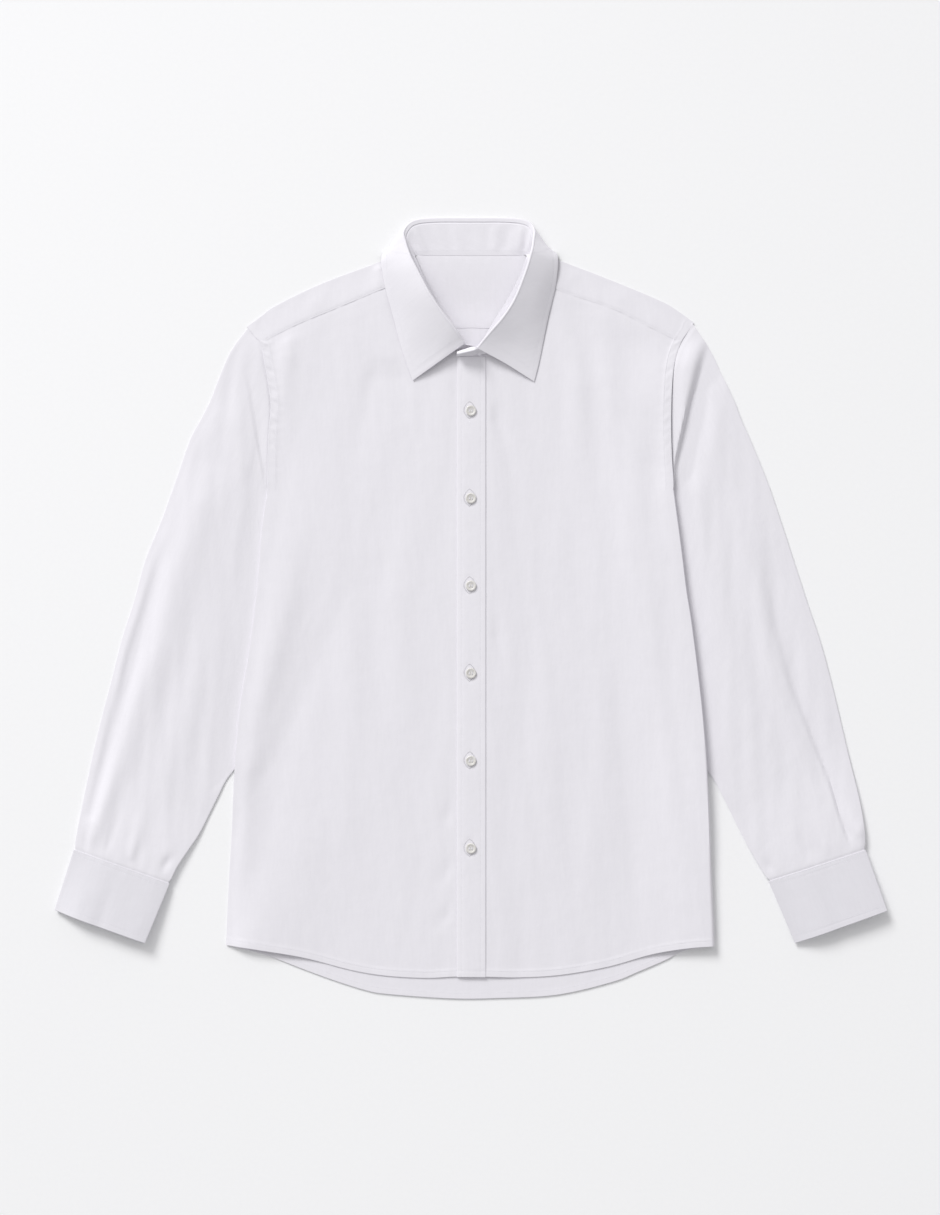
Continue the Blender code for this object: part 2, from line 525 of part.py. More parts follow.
def yoke_patches():
    shoulders = {s: yoke_shoulder(s) for s in (-1, 1)}
    ends = {}
    for side in (-1, 1):
        tip = ARM_Y[side][0]
        ends[side] = armhole(side, -SEAM, [257.0 + SEAM, 266.0, 275.0, (275.0 + tip) / 2, tip])
    rows = 5
    left_tip, right_tip = shoulders[1][0], shoulders[-1][0]
    mirror = np.array([-1.0, 1.0])
    neck_x = np.array([-58.0, -44.0, -29.0, -14.5, 0.0, 14.5, 29.0, 44.0, 58.0])
    neck = np.stack([neck_x, BACK_NECK_Y + 0 * neck_x], -1)
    top = np.vstack([right_tip * mirror, neck, left_tip[::-1]])
    bx = np.interp(np.arange(len(top)), [0, len(top) - 1], [-ends[-1][0, 0], ends[1][0, 0]])
    bx = 0.5 * bx + 0.5 * top[:, 0] * abs(bx[0]) / abs(top[0, 0])
    bx[0], bx[-1] = -ends[-1][0, 0], ends[1][0, 0]
    bottom = np.stack([bx, yoke_back_y(bx) + SEAM], -1)
    right_edge, left_edge = ends[-1] * mirror, ends[1].copy()
    for e, col in ((right_edge, 0), (left_edge, -1)):
        e[0], e[-1] = bottom[col], top[col]
    u = (top[:, 0] - top[0, 0]) / (top[-1, 0] - top[0, 0])
    v = np.linspace(0, 1, rows)
    flat = coons(bottom, top, right_edge, left_edge, u, v)
    back = raised(flat, FLOOR_MID + neck_lift(flat[..., 0], flat[..., 1]))
    patches = [back]
    for side in (-1, 1):
        base, way = shoulders[side]
        out = base[:, 0]
        low = FLOOR_MID + neck_lift(base[:, 0], base[:, 1])
        fold = []
        for angle in np.linspace(-math.pi / 2, math.pi / 2, 6):
            xy = base + way * FOLD_R * math.cos(angle)
            fold.append(raised(xy, low + FOLD_R + FOLD_R * math.sin(angle)))
        fold = np.array(fold)
        seam = line_of(YOKE_FRONT[side]).at(np.linspace(0, 1, YOKE_COLUMNS)) + [0.0, SEAM]
        neck_edge = line_of(YOKE_NECK[side]).at(np.linspace(1, 0, 4))
        neck_edge[0], neck_edge[-1] = seam[-1], base[-1]
        arm_edge = armhole(side, -SEAM, np.linspace(275.0 + SEAM, ARM_Y[side][0], 4))
        arm_edge[-1] = base[0]
        seam[0] = arm_edge[0]
        u2, v2 = np.linspace(0, 1, YOKE_COLUMNS), np.linspace(0, 1, 4)
        flat = coons(seam, base, arm_edge, neck_edge, u2, v2)
        z = LIE + neck_lift(flat[..., 0], flat[..., 1])
        front_part = raised(flat, z)
        front_part[-1] = fold[-1]
        for g in (fold, front_part):
            g[..., 0] *= side
            patches.append(g)
    return patches


cloth("yoke", yoke_patches(), CLOTH)

# ---- placket: a doubled band on the left front, laid over the right one ------------------------------------
px = np.array([PLACKET[0], -12.2, -10.0, -7.0, 4.0, PLACKET[1]])
py = np.linspace(0, 1, 15)
hem_y = np.interp(px, HEM_LINE.p[:, 0], HEM_LINE.p[:, 1]) - HEM_DROP
grid = np.stack([np.broadcast_to(px, (len(py), len(px))),
                 hem_y + py[:, None] * (PLACKET_TOP - hem_y)], -1)
rise = PLACKET_Z - DIVE * ramp(-8.0, -14.0, px)
cloth("placket", [raised(grid, np.broadcast_to(rise, grid.shape[:2]))], BAND)


# ---- sleeves: flattened tubes, rings from the armhole to the cuff ------------------------------------------
RINGS = [0, .018, .036, .06, .095, .14, .19, .25, .31, .37, .44, .51, .58, .65,
         .72, .79, .86, .92, .965, 1.0]
ACROSS = np.array([0, .05, .11, .18, .27, .37, .48, .59, .7, .8, .9, 1.0])


def ring_of(points, share, rest, high_z):
    """Closed ring: upper layer out to in, the inner turn, the lower layer, the outer turn."""
    line = Line(points, smooth=False)
    way_out = points[0] - points[1]
    way_out /= np.linalg.norm(way_out)
    way_in = points[-1] - points[-2]
    way_in /= np.linalg.norm(way_in)
    r0, r1 = (high_z[0] - rest) / 2, (high_z[-1] - rest) / 2
    total = line.s[-1]
    share = r0 / total + share * (1 - (r0 + r1) / total)
    top, low = raised(line.at(share), high_z), raised(line.at(share), rest)
    turns = []
    for way, r, end in ((way_in, r1, top[-1]), (way_out, r0, top[0])):
        turns.append([[end[0] + way[0] * r * math.cos(a), end[1] + way[1] * r * math.cos(a),
                       end[2] - r + r * math.sin(a)]
                      for a in np.linspace(math.pi / 2, -math.pi / 2, 5)[1:-1]])
    return np.vstack([top, turns[0], low[::-1], turns[1][::-1], top[:1]])


def sleeve(side, name):
    cap_line = Line(armhole(side, SEAM, ARM_Y[side]), smooth=False)
    nodes = cap_line.s / cap_line.s[-1]
    across = np.union1d(np.linspace(0, 1, 41), nodes)
    cap = cap_line.at(across)
    bow = cap - (cap[0] + across[:, None] * (cap[-1] - cap[0]))
    outer, inner = line_of(SLEEVE_OUT[side]), line_of(SLEEVE_IN[side])
    rings = []
    for v in RINGS:
        keep = 1 - ramp(0.0, 0.36, v)
        a = outer.at(v) + keep * (cap[0] - outer.at(0.0))
        b = inner.at(v) + keep * (cap[-1] - inner.at(0.0))
        pts = a + across[:, None] * (b - a) + bow * keep
        t = keep * nodes + (1 - keep) * ACROSS
        p = Line(pts, smooth=False).at(t)
        rings.append(ring_of(pts, t, FLOOR_MID, sleeve_z(side, p[:, 0], p[:, 1], t, v)))
    grid = np.array(rings)
    grid[..., 0] *= side
    return cloth(name, [grid], CLOTH)


sleeve(-1, "sleeve_right")
sleeve(1, "sleeve_left")


def cuff(side, name):
    c = np.stack([CUFF[side]["out"], CUFF[side]["y"]], -1)
    rings = []
    for v in (0.0, 0.2, 0.5, 0.8, 1.0):
        a, b = c[0] + v * (c[2] - c[0]), c[1] + v * (c[3] - c[1])
        if v == 0.0:
            down = (c[2] - c[0]) / np.linalg.norm(c[2] - c[0])
            a, b = a + CUFF_GAP * down, b + CUFF_GAP * down
        pts = a + np.linspace(0, 1, 9)[:, None] * (b - a)
        t = np.array([0, .08, .2, .33, .42, .5, .58, .67, .8, .92, 1.0])
        swell = np.sin(np.pi * t) ** 0.7
        crease = np.clip(1 - ((t - 0.5) / DENT_WIDE) ** 2, 0, 1) ** 2
        z = (CUFF_HIGH + CUFF_SWELL * swell - CUFF_DENT * crease * (0.5 + 0.5 * v)
             - CUFF_DRAW * (1 - v) * swell)
        rings.append(ring_of(pts, t, CUFF_REST, z))
    grid = np.array(rings)
    grid[..., 0] *= side
    return cloth(name, [grid], BAND)


cuff(-1, "cuff_right")
cuff(1, "cuff_left")


# ---- collar -------------------------------------------------------------------------------------------------
def collar_stations():
    """Points of the foot, fold, belly and edge round the neck, right point to left point."""
    out = []
    for side in (-1, 1):
        c = COLLAR_ROWS[side]
        foot = np.stack([side * c["fx"], c["fy"], 0 * c["fx"]], -1)
        on_cloth = front_z(side, c["fx"], c["fy"]) + CLOTH / 2 + FOOT_GAP
        behind = ramp(363.8, 366.6, c["fy"])
        foot[:, 2] = on_cloth + (FLOOR_MID + NECK_LIFT + 0.1 - on_cloth) * behind
        if side > 0:
            foot[0, 2] = PLACKET_Z + BAND / 2 + LAP_GAP
        fold = np.stack([side * c["tx"], c["ty"], c["tz"]], -1)
        belly = np.stack([side * c["bx"], c["by"], c["bz"]], -1)
        edge = np.stack([side * c["ex"], c["ey"], c["ez"]], -1)
        out.append([foot, fold, belly, edge])
    joined = [np.vstack([a, b[::-1][1:]]) for a, b in zip(*out)]
    return [spline(p, steps=2) for p in joined]


def unit(v):
    return v / np.linalg.norm(v, axis=-1)[..., None]


def beside(v, along):
    """Direction of v square to a line."""
    return unit(v - np.sum(v * along, axis=-1)[..., None] * along)


foot, fold, belly, edge = collar_stations()
along = unit(np.gradient(fold, axis=0))
middle = unit(beside(foot - fold, along) + beside(belly - fold, along))
across = np.cross(middle, along)


def turn(angle):
    """Point of the collar's turn: +90 on the stand's side, -90 on the leaf's side."""
    a = math.radians(angle)
    return fold + ROLL * ((1 - math.cos(a)) * middle + math.sin(a) * across)


STAND_GAP = 0.65       # mid-surfaces apart where the leaf is sewn to the stand's top
leaf_rows = [turn(a) for a in (90, 30, -30, -90)]
tail = np.array([fold, turn(-90), belly, edge])
curve = np.array([spline(tail[:, i], steps=3) for i in range(tail.shape[1])])
leaf = np.concatenate([np.array(leaf_rows).transpose(1, 0, 2), curve[:, 4:]], axis=1)
leaf[..., 2] = np.maximum(leaf[..., 2], COLLAR / 2)
cloth("collar_leaf", [leaf], COLLAR)

start = turn(90)
stand_top = start + STAND_GAP * unit(foot - start)
ends = []
for side in (-1, 1):
    e = STAND_END[side]
    f = np.stack([side * e["fx"], e["fy"], e["fz"]], -1)
    t = np.stack([side * e["tx"], e["ty"], e["tz"]], -1)
    ends.append((f[::-1], t[::-1]) if side < 0 else (f, t))
feet = np.vstack([ends[0][0], foot, ends[1][0]])
tops = np.vstack([ends[0][1], stand_top, ends[1][1]])
share = np.linspace(0, 1, 5)[None, :, None]
cloth("collar_stand", [feet[:, None] * (1 - share) + tops[:, None] * share], COLLAR)

# ---- buttons: turned, with a raised rim and a sunken middle ----------------------------------------------------
BUTTON_PROFILE = table("r z", (0.0, 1.7), (2.9, 1.7), (3.8, 2.5), (4.9, 2.5),
                       (BUTTON_R, 1.4), (4.6, 0.0), (0.0, 0.0))
button_mesh = bpy.data.meshes.new("button")
button_mesh.from_pydata([(r * 0.001, 0, z * 0.001) for r, z in zip(*BUTTON_PROFILE.values())],
                        [(i, i + 1) for i in range(6)], [])
button_mesh.materials.append(material("button", PEARL, 0.3))
for k in range(BUTTON_COUNT):
    ob = bpy.data.objects.new("button_%d" % (k + 1), button_mesh)
    collection.objects.link(ob)
    ob.parent = origin
    ob.location = (BUTTON_X * 0.001, (BUTTON_TOP_Y - k * BUTTON_PITCH) * 0.001,
                   (PLACKET_Z + BAND / 2 + BUTTON_GAP) * 0.001)
    screw = ob.modifiers.new("turn", "SCREW")
    screw.steps = screw.render_steps = 18
    screw.use_merge_vertices = True
    screw.merge_threshold = 0.00005
    screw.use_normal_calculate = True

# ---- origin: the middle of the shirt's box, on the surface -------------------------------------------------------
bpy.context.view_layer.update()
graph = bpy.context.evaluated_depsgraph_get()
corners = []
for ob in collection.objects:
    if ob.type == "MESH":
        done = ob.evaluated_get(graph)
        pts = np.empty(len(done.data.vertices) * 3)
        done.data.vertices.foreach_get("co", pts)
        pts = pts.reshape(-1, 3) + np.array(ob.location)
        corners += [pts.min(0), pts.max(0)]
low, high = np.min(corners, 0), np.max(corners, 0)
origin.location = (-(low[0] + high[0]) / 2, -(low[1] + high[1]) / 2, -low[2])
bpy.context.view_layer.update()
print("box mm", (high - low) * 1000)
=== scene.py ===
# %% [markdown]
# # A long sleeve dress shirt, laid flat
#
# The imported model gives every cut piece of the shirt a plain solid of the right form. Here each
# one gets its real cloth: thin walls, seams with their edges, creases, hems, stitches and buttons.
# Everything is worked out in millimetres on the shirt's own pattern, and comes out in metres.

# %% Load the fixed frame
import math

import bmesh
import bpy
import numpy as np
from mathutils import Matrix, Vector
from mathutils.bvhtree import BVHTree


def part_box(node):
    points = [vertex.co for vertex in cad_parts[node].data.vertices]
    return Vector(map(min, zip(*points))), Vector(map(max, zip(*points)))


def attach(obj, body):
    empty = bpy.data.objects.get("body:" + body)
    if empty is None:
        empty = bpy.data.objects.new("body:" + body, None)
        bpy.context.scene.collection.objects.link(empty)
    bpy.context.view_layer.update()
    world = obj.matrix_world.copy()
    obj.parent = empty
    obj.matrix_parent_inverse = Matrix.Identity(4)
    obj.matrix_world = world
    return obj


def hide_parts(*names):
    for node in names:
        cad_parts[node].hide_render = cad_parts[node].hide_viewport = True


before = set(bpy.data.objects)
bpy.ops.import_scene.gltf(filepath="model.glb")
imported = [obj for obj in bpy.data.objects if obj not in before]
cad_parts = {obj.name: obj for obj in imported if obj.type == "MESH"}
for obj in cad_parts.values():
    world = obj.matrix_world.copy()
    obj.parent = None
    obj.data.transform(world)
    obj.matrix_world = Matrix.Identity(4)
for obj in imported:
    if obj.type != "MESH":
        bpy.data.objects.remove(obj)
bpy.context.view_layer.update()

# %% [markdown]
# ## Camera, floor and light
#
# A shirt in a catalogue is shot from straight above, with a long lens, so that its edges don't
# lean. A soft sun stands for one large lamp at the upper left, and a bright room fills the
# shadows to a bit over half of the light. Low light matters here: a crease in white cloth is
# seen only by the change of its slope to the lamp.

# %% Camera straight above
LENS = 85.0            # mm, long enough that sleeves and collar aren't seen from the side
FIELD = 1.264          # m, what the camera sees from top to bottom
scene = bpy.context.scene
camera_data = bpy.data.cameras.new("camera")
camera_data.lens = LENS
camera = bpy.data.objects.new("camera", camera_data)
camera.location = (-0.0004, 0.0004, LENS / camera_data.sensor_width * FIELD)
scene.collection.objects.link(camera)
scene.camera = camera
scene.view_settings.view_transform = "Standard"
print("camera height, m: %.2f" % camera.location.z)

# %% Lamp and room light
LAMP_HEIGHT, LAMP_SIZE = 33.0, 22.0     # degrees above the floor, and across
LAMP_WAY = (0.5, -0.87, 0.0)            # where its light travels, from the upper left
LAMP_POWER, ROOM_POWER = 2.08, 0.525
ROOM_TINT = (0.985, 0.985, 1.0, 1.0)
BOARD_SIZE, BOARD_POWER, BOARD_PLACE = 1.6, 9.0, (-1.2, 1.05, 1.9)
sun_data = bpy.data.lights.new("lamp", "SUN")
sun_data.energy = LAMP_POWER
sun_data.angle = math.radians(LAMP_SIZE)
sun = bpy.data.objects.new("lamp", sun_data)
toward = Vector(LAMP_WAY).normalized() * math.cos(math.radians(LAMP_HEIGHT))
toward.z = -math.sin(math.radians(LAMP_HEIGHT))
sun.rotation_euler = toward.to_track_quat("-Z", "Y").to_euler()
scene.collection.objects.link(sun)

# a white board beside the floor throws a little more light on its left side
board_data = bpy.data.lights.new("board", "AREA")
board_data.shape, board_data.size, board_data.energy = "DISK", BOARD_SIZE, BOARD_POWER
board = bpy.data.objects.new("board", board_data)
board.location = BOARD_PLACE
board.rotation_euler = (-board.location).to_track_quat("-Z", "Y").to_euler()
scene.collection.objects.link(board)
world = bpy.data.worlds.new("room")
world.use_nodes = True
world.node_tree.nodes["Background"].inputs["Color"].default_value = ROOM_TINT
world.node_tree.nodes["Background"].inputs["Strength"].default_value = ROOM_POWER
scene.world = world

# %% [markdown]
# ## The pattern
#
# A shirt maker draws half patterns: a line for the neck, one for the armhole, one for the side.
# The short tables below are those lines, in millimetres out from the centre line of the front.
# `right` and `left` are the wearer's sides. The solid model was cut from the same tables, so the
# cloth made here lies where its solids lie.

# %% Sizes of the cloth
CLOTH = 1.0            # what the solid model allows for one layer
WALL = 0.5             # the shirting itself, a little stout so that its edges catch light
SEAM = 0.25            # each piece stops this far short of its seam line
UNDER = 2.2            # how far a piece runs in under the one that is stitched over it
FLOOR_MID = 0.5        # mid-surface of cloth that rests on the floor
LIE = 2.5              # mid-surface of the fronts over the back panel
OVER_SLEEVE = {-1: 1.1, 1: 2.0}    # how much higher the fronts run over a sleeve
EDGE_LOW = 1.3         # mid-surface of a pressed edge on the floor
OVERHANG = 1.4         # a pressed edge's upper layer reaches this far past the lower one
TUCK = 1.7             # rise of the turned-under strip over a sleeve
NECK_LIFT = 2.0        # rise of the yoke over the collar leaf behind the neck
CENTRE = 13.5          # the right front's edge runs this far past the centre line
LAP = 8.0              # the left front's edge, under the placket
PLACKET = (-14.0, 15.6)
PLACKET_TOP = 261.0
PLACKET_Z = 4.8        # mid-surface of the placket
ROLL = (1.0, 0.8)      # radius of the collar's turn, at the sides and behind the neck
TURN_DOWN = 3.2        # the leaf's seam with the stand lies this far under the fold
BUTTON_X, BUTTON_TOP_Y, BUTTON_PITCH, BUTTON_COUNT = 0.5, 204.9, 90.9, 6
ARM_LOW = 122.7        # height where the body's edge crosses the armhole
SEAM_END = (137.0, 52.0)           # where the side seam meets the armhole, under the body
YOKE_TIP = 257.0       # height where the yoke's back seam meets the armhole
BAND_WIDE, BAND_EDGE = 8.0, 1.4    # the armhole's felled band: its stitch lines off the seam
# narrow columns beside an armhole, for that band
BAND_COLUMNS = np.array([0, 0.5, 1.2, 2, 3, 4, 5, 6, 6.8, 7.4, 8, 8.8, 10])


def table(names, *rows):
    """A short table: each named column comes back as an array."""
    return dict(zip(names.split(), np.array(rows, float).T))


def ramp(a, b, x):
    """Soft step from 0 at a to 1 at b."""
    t = np.clip((np.asarray(x, float) - a) / (b - a), 0.0, 1.0)
    return t * t * (3.0 - 2.0 * t)


low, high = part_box("button_1")
SHIFT = np.array([*((np.array(low) + np.array(high))[:2] * 500 - (BUTTON_X, BUTTON_TOP_Y)), 0.0])
print("pattern to frame, mm:", np.round(SHIFT, 3))

# %% Lines of the pattern
# body side: the edge where each front turns under
SIDE = table("y right left",
             (-350.0, 253.8, 253.0), (-321.0, 252.8, 252.1), (-278.0, 250.6, 250.3),
             (-233.0, 248.0, 248.5), (-184.0, 246.0, 246.4), (-146.0, 243.5, 244.1),
             (-102.0, 239.1, 240.1), (-58.0, 231.8, 235.0), (-12.0, 225.2, 229.0),
             (16.0, 222.0, 224.5), (45.0, 219.4, 220.9), (74.0, 217.2, 217.3),
             (100.0, 214.2, 213.8), (122.7, 210.6, 210.8))
# side seam on the underside, between the turned-under strip and the back panel
SIDE_SEAM = table("y out",
                  (-352.0, 245.5), (-320.0, 244.5), (-260.0, 241.0), (-200.0, 237.0),
                  (-163.0, 226.0), (-130.0, 211.0), (-96.0, 194.0), (-44.0, 172.0),
                  (-10.0, 157.0), (29.0, 144.0), (52.0, 137.0))
# lower armhole, hidden under the body: it runs in from the side edge to the side seam
UNDERARM = table("y out",
                 (52.0, 137.0), (57.0, 152.0), (63.0, 162.0), (76.0, 182.0),
                 (92.0, 196.0), (108.0, 205.0), (122.7, 210.6))
# how far the loose side edges stand up, from the hem to the armhole
EDGE_PUFF = {
    -1: table("y z", (-352, 5.2), (-310, 3.6), (-240, 1.6), (-120, 0.6), (20, 0.5), (122.7, 0.0)),
    1: table("y z", (-352, 7.2), (-300, 8.2), (-200, 8.2), (-120, 6.6), (10, 6.0), (60, 5.6),
             (95, 5.2), (122.7, 5.0), (150, 4.6), (225, 3.8), (270, 0.3), (292, 0.0)),
}
# visible armhole, from the shoulder tip down to where the body's edge crosses it
ARMHOLE = {
    -1: table("out y", (232.4, 292.2), (224.1, 281.8), (218.3, 275.0), (214.8, 256.9),
              (211.1, 237.1), (208.2, 215.3), (208.2, 203.3), (210.1, 183.0),
              (211.1, 153.9), (210.6, 122.7)),
    1: table("out y", (232.4, 296.4), (225.2, 286.0), (218.6, 275.1), (212.1, 254.8),
             (209.1, 225.7), (208.4, 189.3), (209.0, 160.2), (210.8, 122.7)),
}
SHOULDER = {
    -1: table("out y", (232.4, 292.2), (216.8, 303.7), (202.3, 314.1), (153.9, 337.4),
              (90.5, 360.9), (66.0, 370.4)),
    1: table("out y", (232.4, 296.4), (216.8, 307.8), (197.1, 319.3), (139.6, 343.2),
             (88.6, 362.3), (66.0, 370.4)),
}
YOKE_FRONT = {
    -1: table("out y", (218.3, 275.0), (198.1, 286.0), (177.3, 295.9), (142.4, 310.3),
              (114.9, 321.8), (90.5, 331.8), (50.0, 345.5)),
    1: table("out y", (218.6, 275.1), (209.6, 280.3), (187.7, 291.2), (149.2, 310.4),
             (101.1, 326.8), (51.2, 345.2)),
}
YOKE_BACK = table("out y", (0.0, 291.2), (100.0, 288.0), (160.0, 279.0), (213.5, 257.0))
# neckline of the body, from the shoulder down to the centre front
YOKE_NECK = {
    -1: table("out y", (66.0, 370.4), (63.2, 366.0), (61.0, 361.5), (56.0, 353.5),
              (50.0, 345.5)),
    1: table("out y", (66.0, 370.4), (63.6, 366.0), (61.6, 361.5), (57.2, 353.5),
             (51.2, 345.2)),
}
FRONT_NECK = {
    -1: table("out y", (50.0, 345.5), (36.2, 318.5), (23.0, 299.0), (13.0, 284.0),
              (4.0, 271.5), (-5.0, 268.0), (-CENTRE, 266.0)),
    1: table("out y", (51.2, 345.2), (39.4, 320.5), (26.8, 301.5), (16.0, 284.0),
             (LAP, 268.0)),
}
HEM_FRONT = table("x y",
                  (-253.7, -350.3), (-222.7, -354.5), (-174.2, -363.0), (-124.3, -376.1),
                  (-87.9, -382.1), (-46.7, -384.4), (-15.7, -383.0), (15.1, -383.0),
                  (50.4, -383.8), (93.1, -381.3), (143.0, -372.7), (189.8, -359.4),
                  (226.8, -352.9), (252.8, -350.7))
HEM_BACK = table("x y",
                 (-247.0, -351.5), (-210.6, -361.4), (-174.2, -375.2), (-143.3, -386.5),
                 (-110.8, -396.8), (-87.9, -401.1), (-21.3, -405.8), (26.2, -405.5),
                 (89.3, -402.1), (147.0, -388.8), (174.8, -377.9), (202.7, -365.9),
                 (221.0, -356.7), (247.0, -351.5))
# sleeves: outer edge and inner edge, each from the armhole to the cuff
SLEEVE_OUT = {
    -1: table("out y", (232.4, 292.2), (250.1, 268.3), (261.6, 242.3), (271.3, 216.3),
              (281.3, 195.5), (292.0, 174.7), (304.2, 138.3), (320.8, 91.5),
              (337.7, 49.9), (349.1, 8.3), (362.4, -33.3), (372.9, -74.9),
              (383.9, -116.5), (393.6, -158.1), (402.2, -199.7), (407.8, -228.0),
              (411.7, -250.6)),
    1: table("out y", (232.4, 296.4), (251.7, 266.8), (262.5, 243.0), (274.8, 216.3),
             (282.4, 195.5), (291.2, 174.7), (307.7, 133.1), (321.9, 91.5),
             (335.4, 49.9), (348.9, 8.3), (362.9, -33.3), (374.3, -74.9),
             (384.3, -116.5), (394.0, -158.1), (404.0, -199.7), (408.8, -228.8),
             (409.8, -250.6)),
}
UNDER_BODY = [(152.0, 57.0), (158.0, 29.0), (172.0, -10.0), (187.0, -44.0), (208.0, -95.7),
              (225.0, -130.0), (242.8, -163.3)]
SLEEVE_IN = {
    -1: table("out y", *UNDER_BODY, (254.3, -178.9), (264.7, -199.7), (281.3, -233.0),
              (292.5, -250.0), (305.0, -269.0), (312.6, -285.3)),
    1: table("out y", *UNDER_BODY, (253.5, -178.9), (265.2, -201.0), (280.3, -231.9),
             (290.7, -251.7), (301.1, -269.4), (310.0, -283.3)),
}
# cuffs: corners at the seam and at the free edge, outer side first
CUFF = {
    -1: table("out y", (411.8, -251.0), (312.7, -285.8), (431.7, -313.5), (337.6, -347.0)),
    1: table("out y", (409.9, -251.0), (310.0, -283.8), (431.5, -313.8), (337.5, -347.7)),
}
# collar, by stations from the centre front round to the centre back: the stand's foot,
# the fold, the belly of the leaf and the leaf's outer edge
COLLAR_ROWS = {
    -1: table("fx fy  tx ty tz  bx by bz  ex ey ez",
              (5.0, 270.0, 5.7, 274.6, 13.0, 32.0, 256.0, 9.6, 59.8, 236.6, 3.9),
              (13.0, 283.0, 16.1, 289.1, 19.5, 40.5, 271.5, 11.2, 65.6, 252.5, 3.8),
              (22.5, 298.5, 30.7, 307.8, 22.5, 51.0, 294.0, 14.0, 72.6, 273.5, 3.9),
              (35.5, 318.0, 43.7, 327.6, 22.8, 63.0, 317.0, 14.8, 80.0, 302.0, 4.2),
              (46.5, 340.0, 55.6, 350.5, 19.5, 75.5, 341.5, 13.2, 87.8, 330.0, 4.8),
              (52.5, 353.0, 62.0, 363.5, 15.6, 83.0, 355.3, 10.8, 91.6, 350.0, 5.2),
              (55.5, 360.0, 65.0, 371.5, 12.6, 86.5, 363.8, 8.8, 92.4, 361.8, 4.6),
              (57.5, 364.5, 67.5, 380.0, 9.6, 85.0, 372.4, 6.2, 89.5, 368.0, 1.5),
              (56.5, 366.6, 69.2, 391.0, 6.4, 79.5, 380.0, 3.2, 74.0, 363.5, 0.6),
              (49.0, 366.6, 61.0, 401.3, 4.4, 66.0, 386.0, 1.0, 58.0, 361.5, 0.6),
              (30.0, 366.6, 42.0, 405.0, 2.0, 42.0, 384.0, 0.6, 38.0, 361.0, 0.6),
              (0.0, 366.6, 0.0, 405.5, 1.6, 0.0, 384.0, 0.6, 0.0, 361.0, 0.6)),
    1: table("fx fy  tx ty tz  bx by bz  ex ey ez",
             (8.5, 264.5, 6.8, 269.8, 13.0, 36.0, 254.0, 9.0, 66.0, 235.5, 3.9),
             (16.5, 283.0, 20.0, 285.0, 19.0, 45.0, 271.5, 11.0, 70.5, 253.0, 3.8),
             (26.5, 301.0, 34.0, 301.0, 22.5, 55.0, 291.0, 14.0, 75.0, 275.0, 3.9),
             (38.5, 320.0, 46.0, 320.0, 23.5, 65.0, 314.0, 15.0, 80.5, 302.0, 4.2),
             (49.5, 341.0, 57.0, 348.0, 23.0, 75.0, 340.0, 14.0, 87.3, 330.0, 4.8),
             (54.5, 353.0, 62.0, 365.0, 21.0, 80.0, 357.0, 12.5, 90.0, 348.5, 6.3),
             (57.0, 361.0, 64.0, 373.0, 18.5, 82.0, 366.0, 10.5, 90.6, 363.0, 6.2),
             (58.5, 365.0, 65.0, 381.0, 15.5, 79.5, 374.5, 7.5, 87.5, 369.0, 1.5),
             (57.0, 366.6, 66.0, 392.0, 10.0, 74.5, 381.0, 3.6, 73.0, 363.5, 0.6),
             (49.0, 366.6, 60.0, 401.4, 4.4, 64.0, 386.0, 1.0, 57.0, 361.5, 0.6),
             (30.0, 366.6, 41.0, 405.0, 2.0, 42.0, 384.0, 0.6, 38.0, 361.0, 0.6),
             (0.0, 366.6, 0.0, 405.5, 1.6, 0.0, 384.0, 0.6, 0.0, 361.0, 0.6)),
}
# lapped ends of the stand past the collar points: the left end lies over the right one
STAND_END = {
    -1: table("fx fy fz  tx ty tz", (-5.0, 266.5, 3.3, -3.5, 271.5, 13.0)),
    1: table("fx fy fz  tx ty tz", (2.0, 262.4, 6.0, 4.6, 266.6, 21.0),
             (-7.0, 262.0, 6.0, -5.5, 264.4, 18.5), (-14.2, 261.6, 6.0, -13.6, 263.0, 15.0)),
}

# %% [markdown]
# ## Lines and surfaces
#
# A cut piece has four borders, such as a front's hem, side, neck and shoulder. A Coons patch
# spans them: rows that follow the hem below turn little by little into rows that follow the seam
# above. Subdividing a rough mesh would round the seams away, so the grid is worked out at its
# final fineness, with narrow rows where a seam or a hem needs them.

# %% Splines and patches
def spline(points, steps=6):
    """Catmull-Rom line through the points."""
    p = np.asarray(points, float)
    p = np.vstack([2 * p[0] - p[1], p, 2 * p[-1] - p[-2]])
    t = np.arange(steps)[:, None] / steps
    out = [0.5 * (2 * b + (c - a) * t + (2 * a - 5 * b + 4 * c - d) * t * t
                  + (3 * b - a - 3 * c + d) * t ** 3)
           for a, b, c, d in zip(p, p[1:], p[2:], p[3:])]
    return np.vstack(out + [p[-2:-1]])


class Line:
    """A smooth line, read at a share of its length."""

    def __init__(self, points, smooth=True):
        self.p = spline(points, 10) if smooth else np.asarray(points, float)
        step = np.linalg.norm(np.diff(self.p, axis=0), axis=1)
        self.s = np.concatenate([[0.0], np.cumsum(step)])

    def at(self, share):
        s = np.asarray(share, float) * self.s[-1]
        return np.stack([np.interp(s, self.s, c) for c in self.p.T], -1)

    def aside(self, distance):
        """The same line moved to its left by a distance."""
        t = np.gradient(self.p, axis=0)
        t /= np.linalg.norm(t, axis=1)[:, None]
        return Line(self.p + distance * np.stack([-t[:, 1], t[:, 0]], -1), smooth=False)


def line_of(tab, a="out", b="y"):
    """A table's two columns as a smooth line."""
    return Line(np.stack([tab[a], tab[b]], -1))


def smooth_read(x, xs, ys):
    """ys at x, along a smooth line through a table's points; xs rise."""
    p = spline(np.stack([xs, ys], -1), 10)
    return np.interp(x, np.maximum.accumulate(p[:, 0]), p[:, 1])


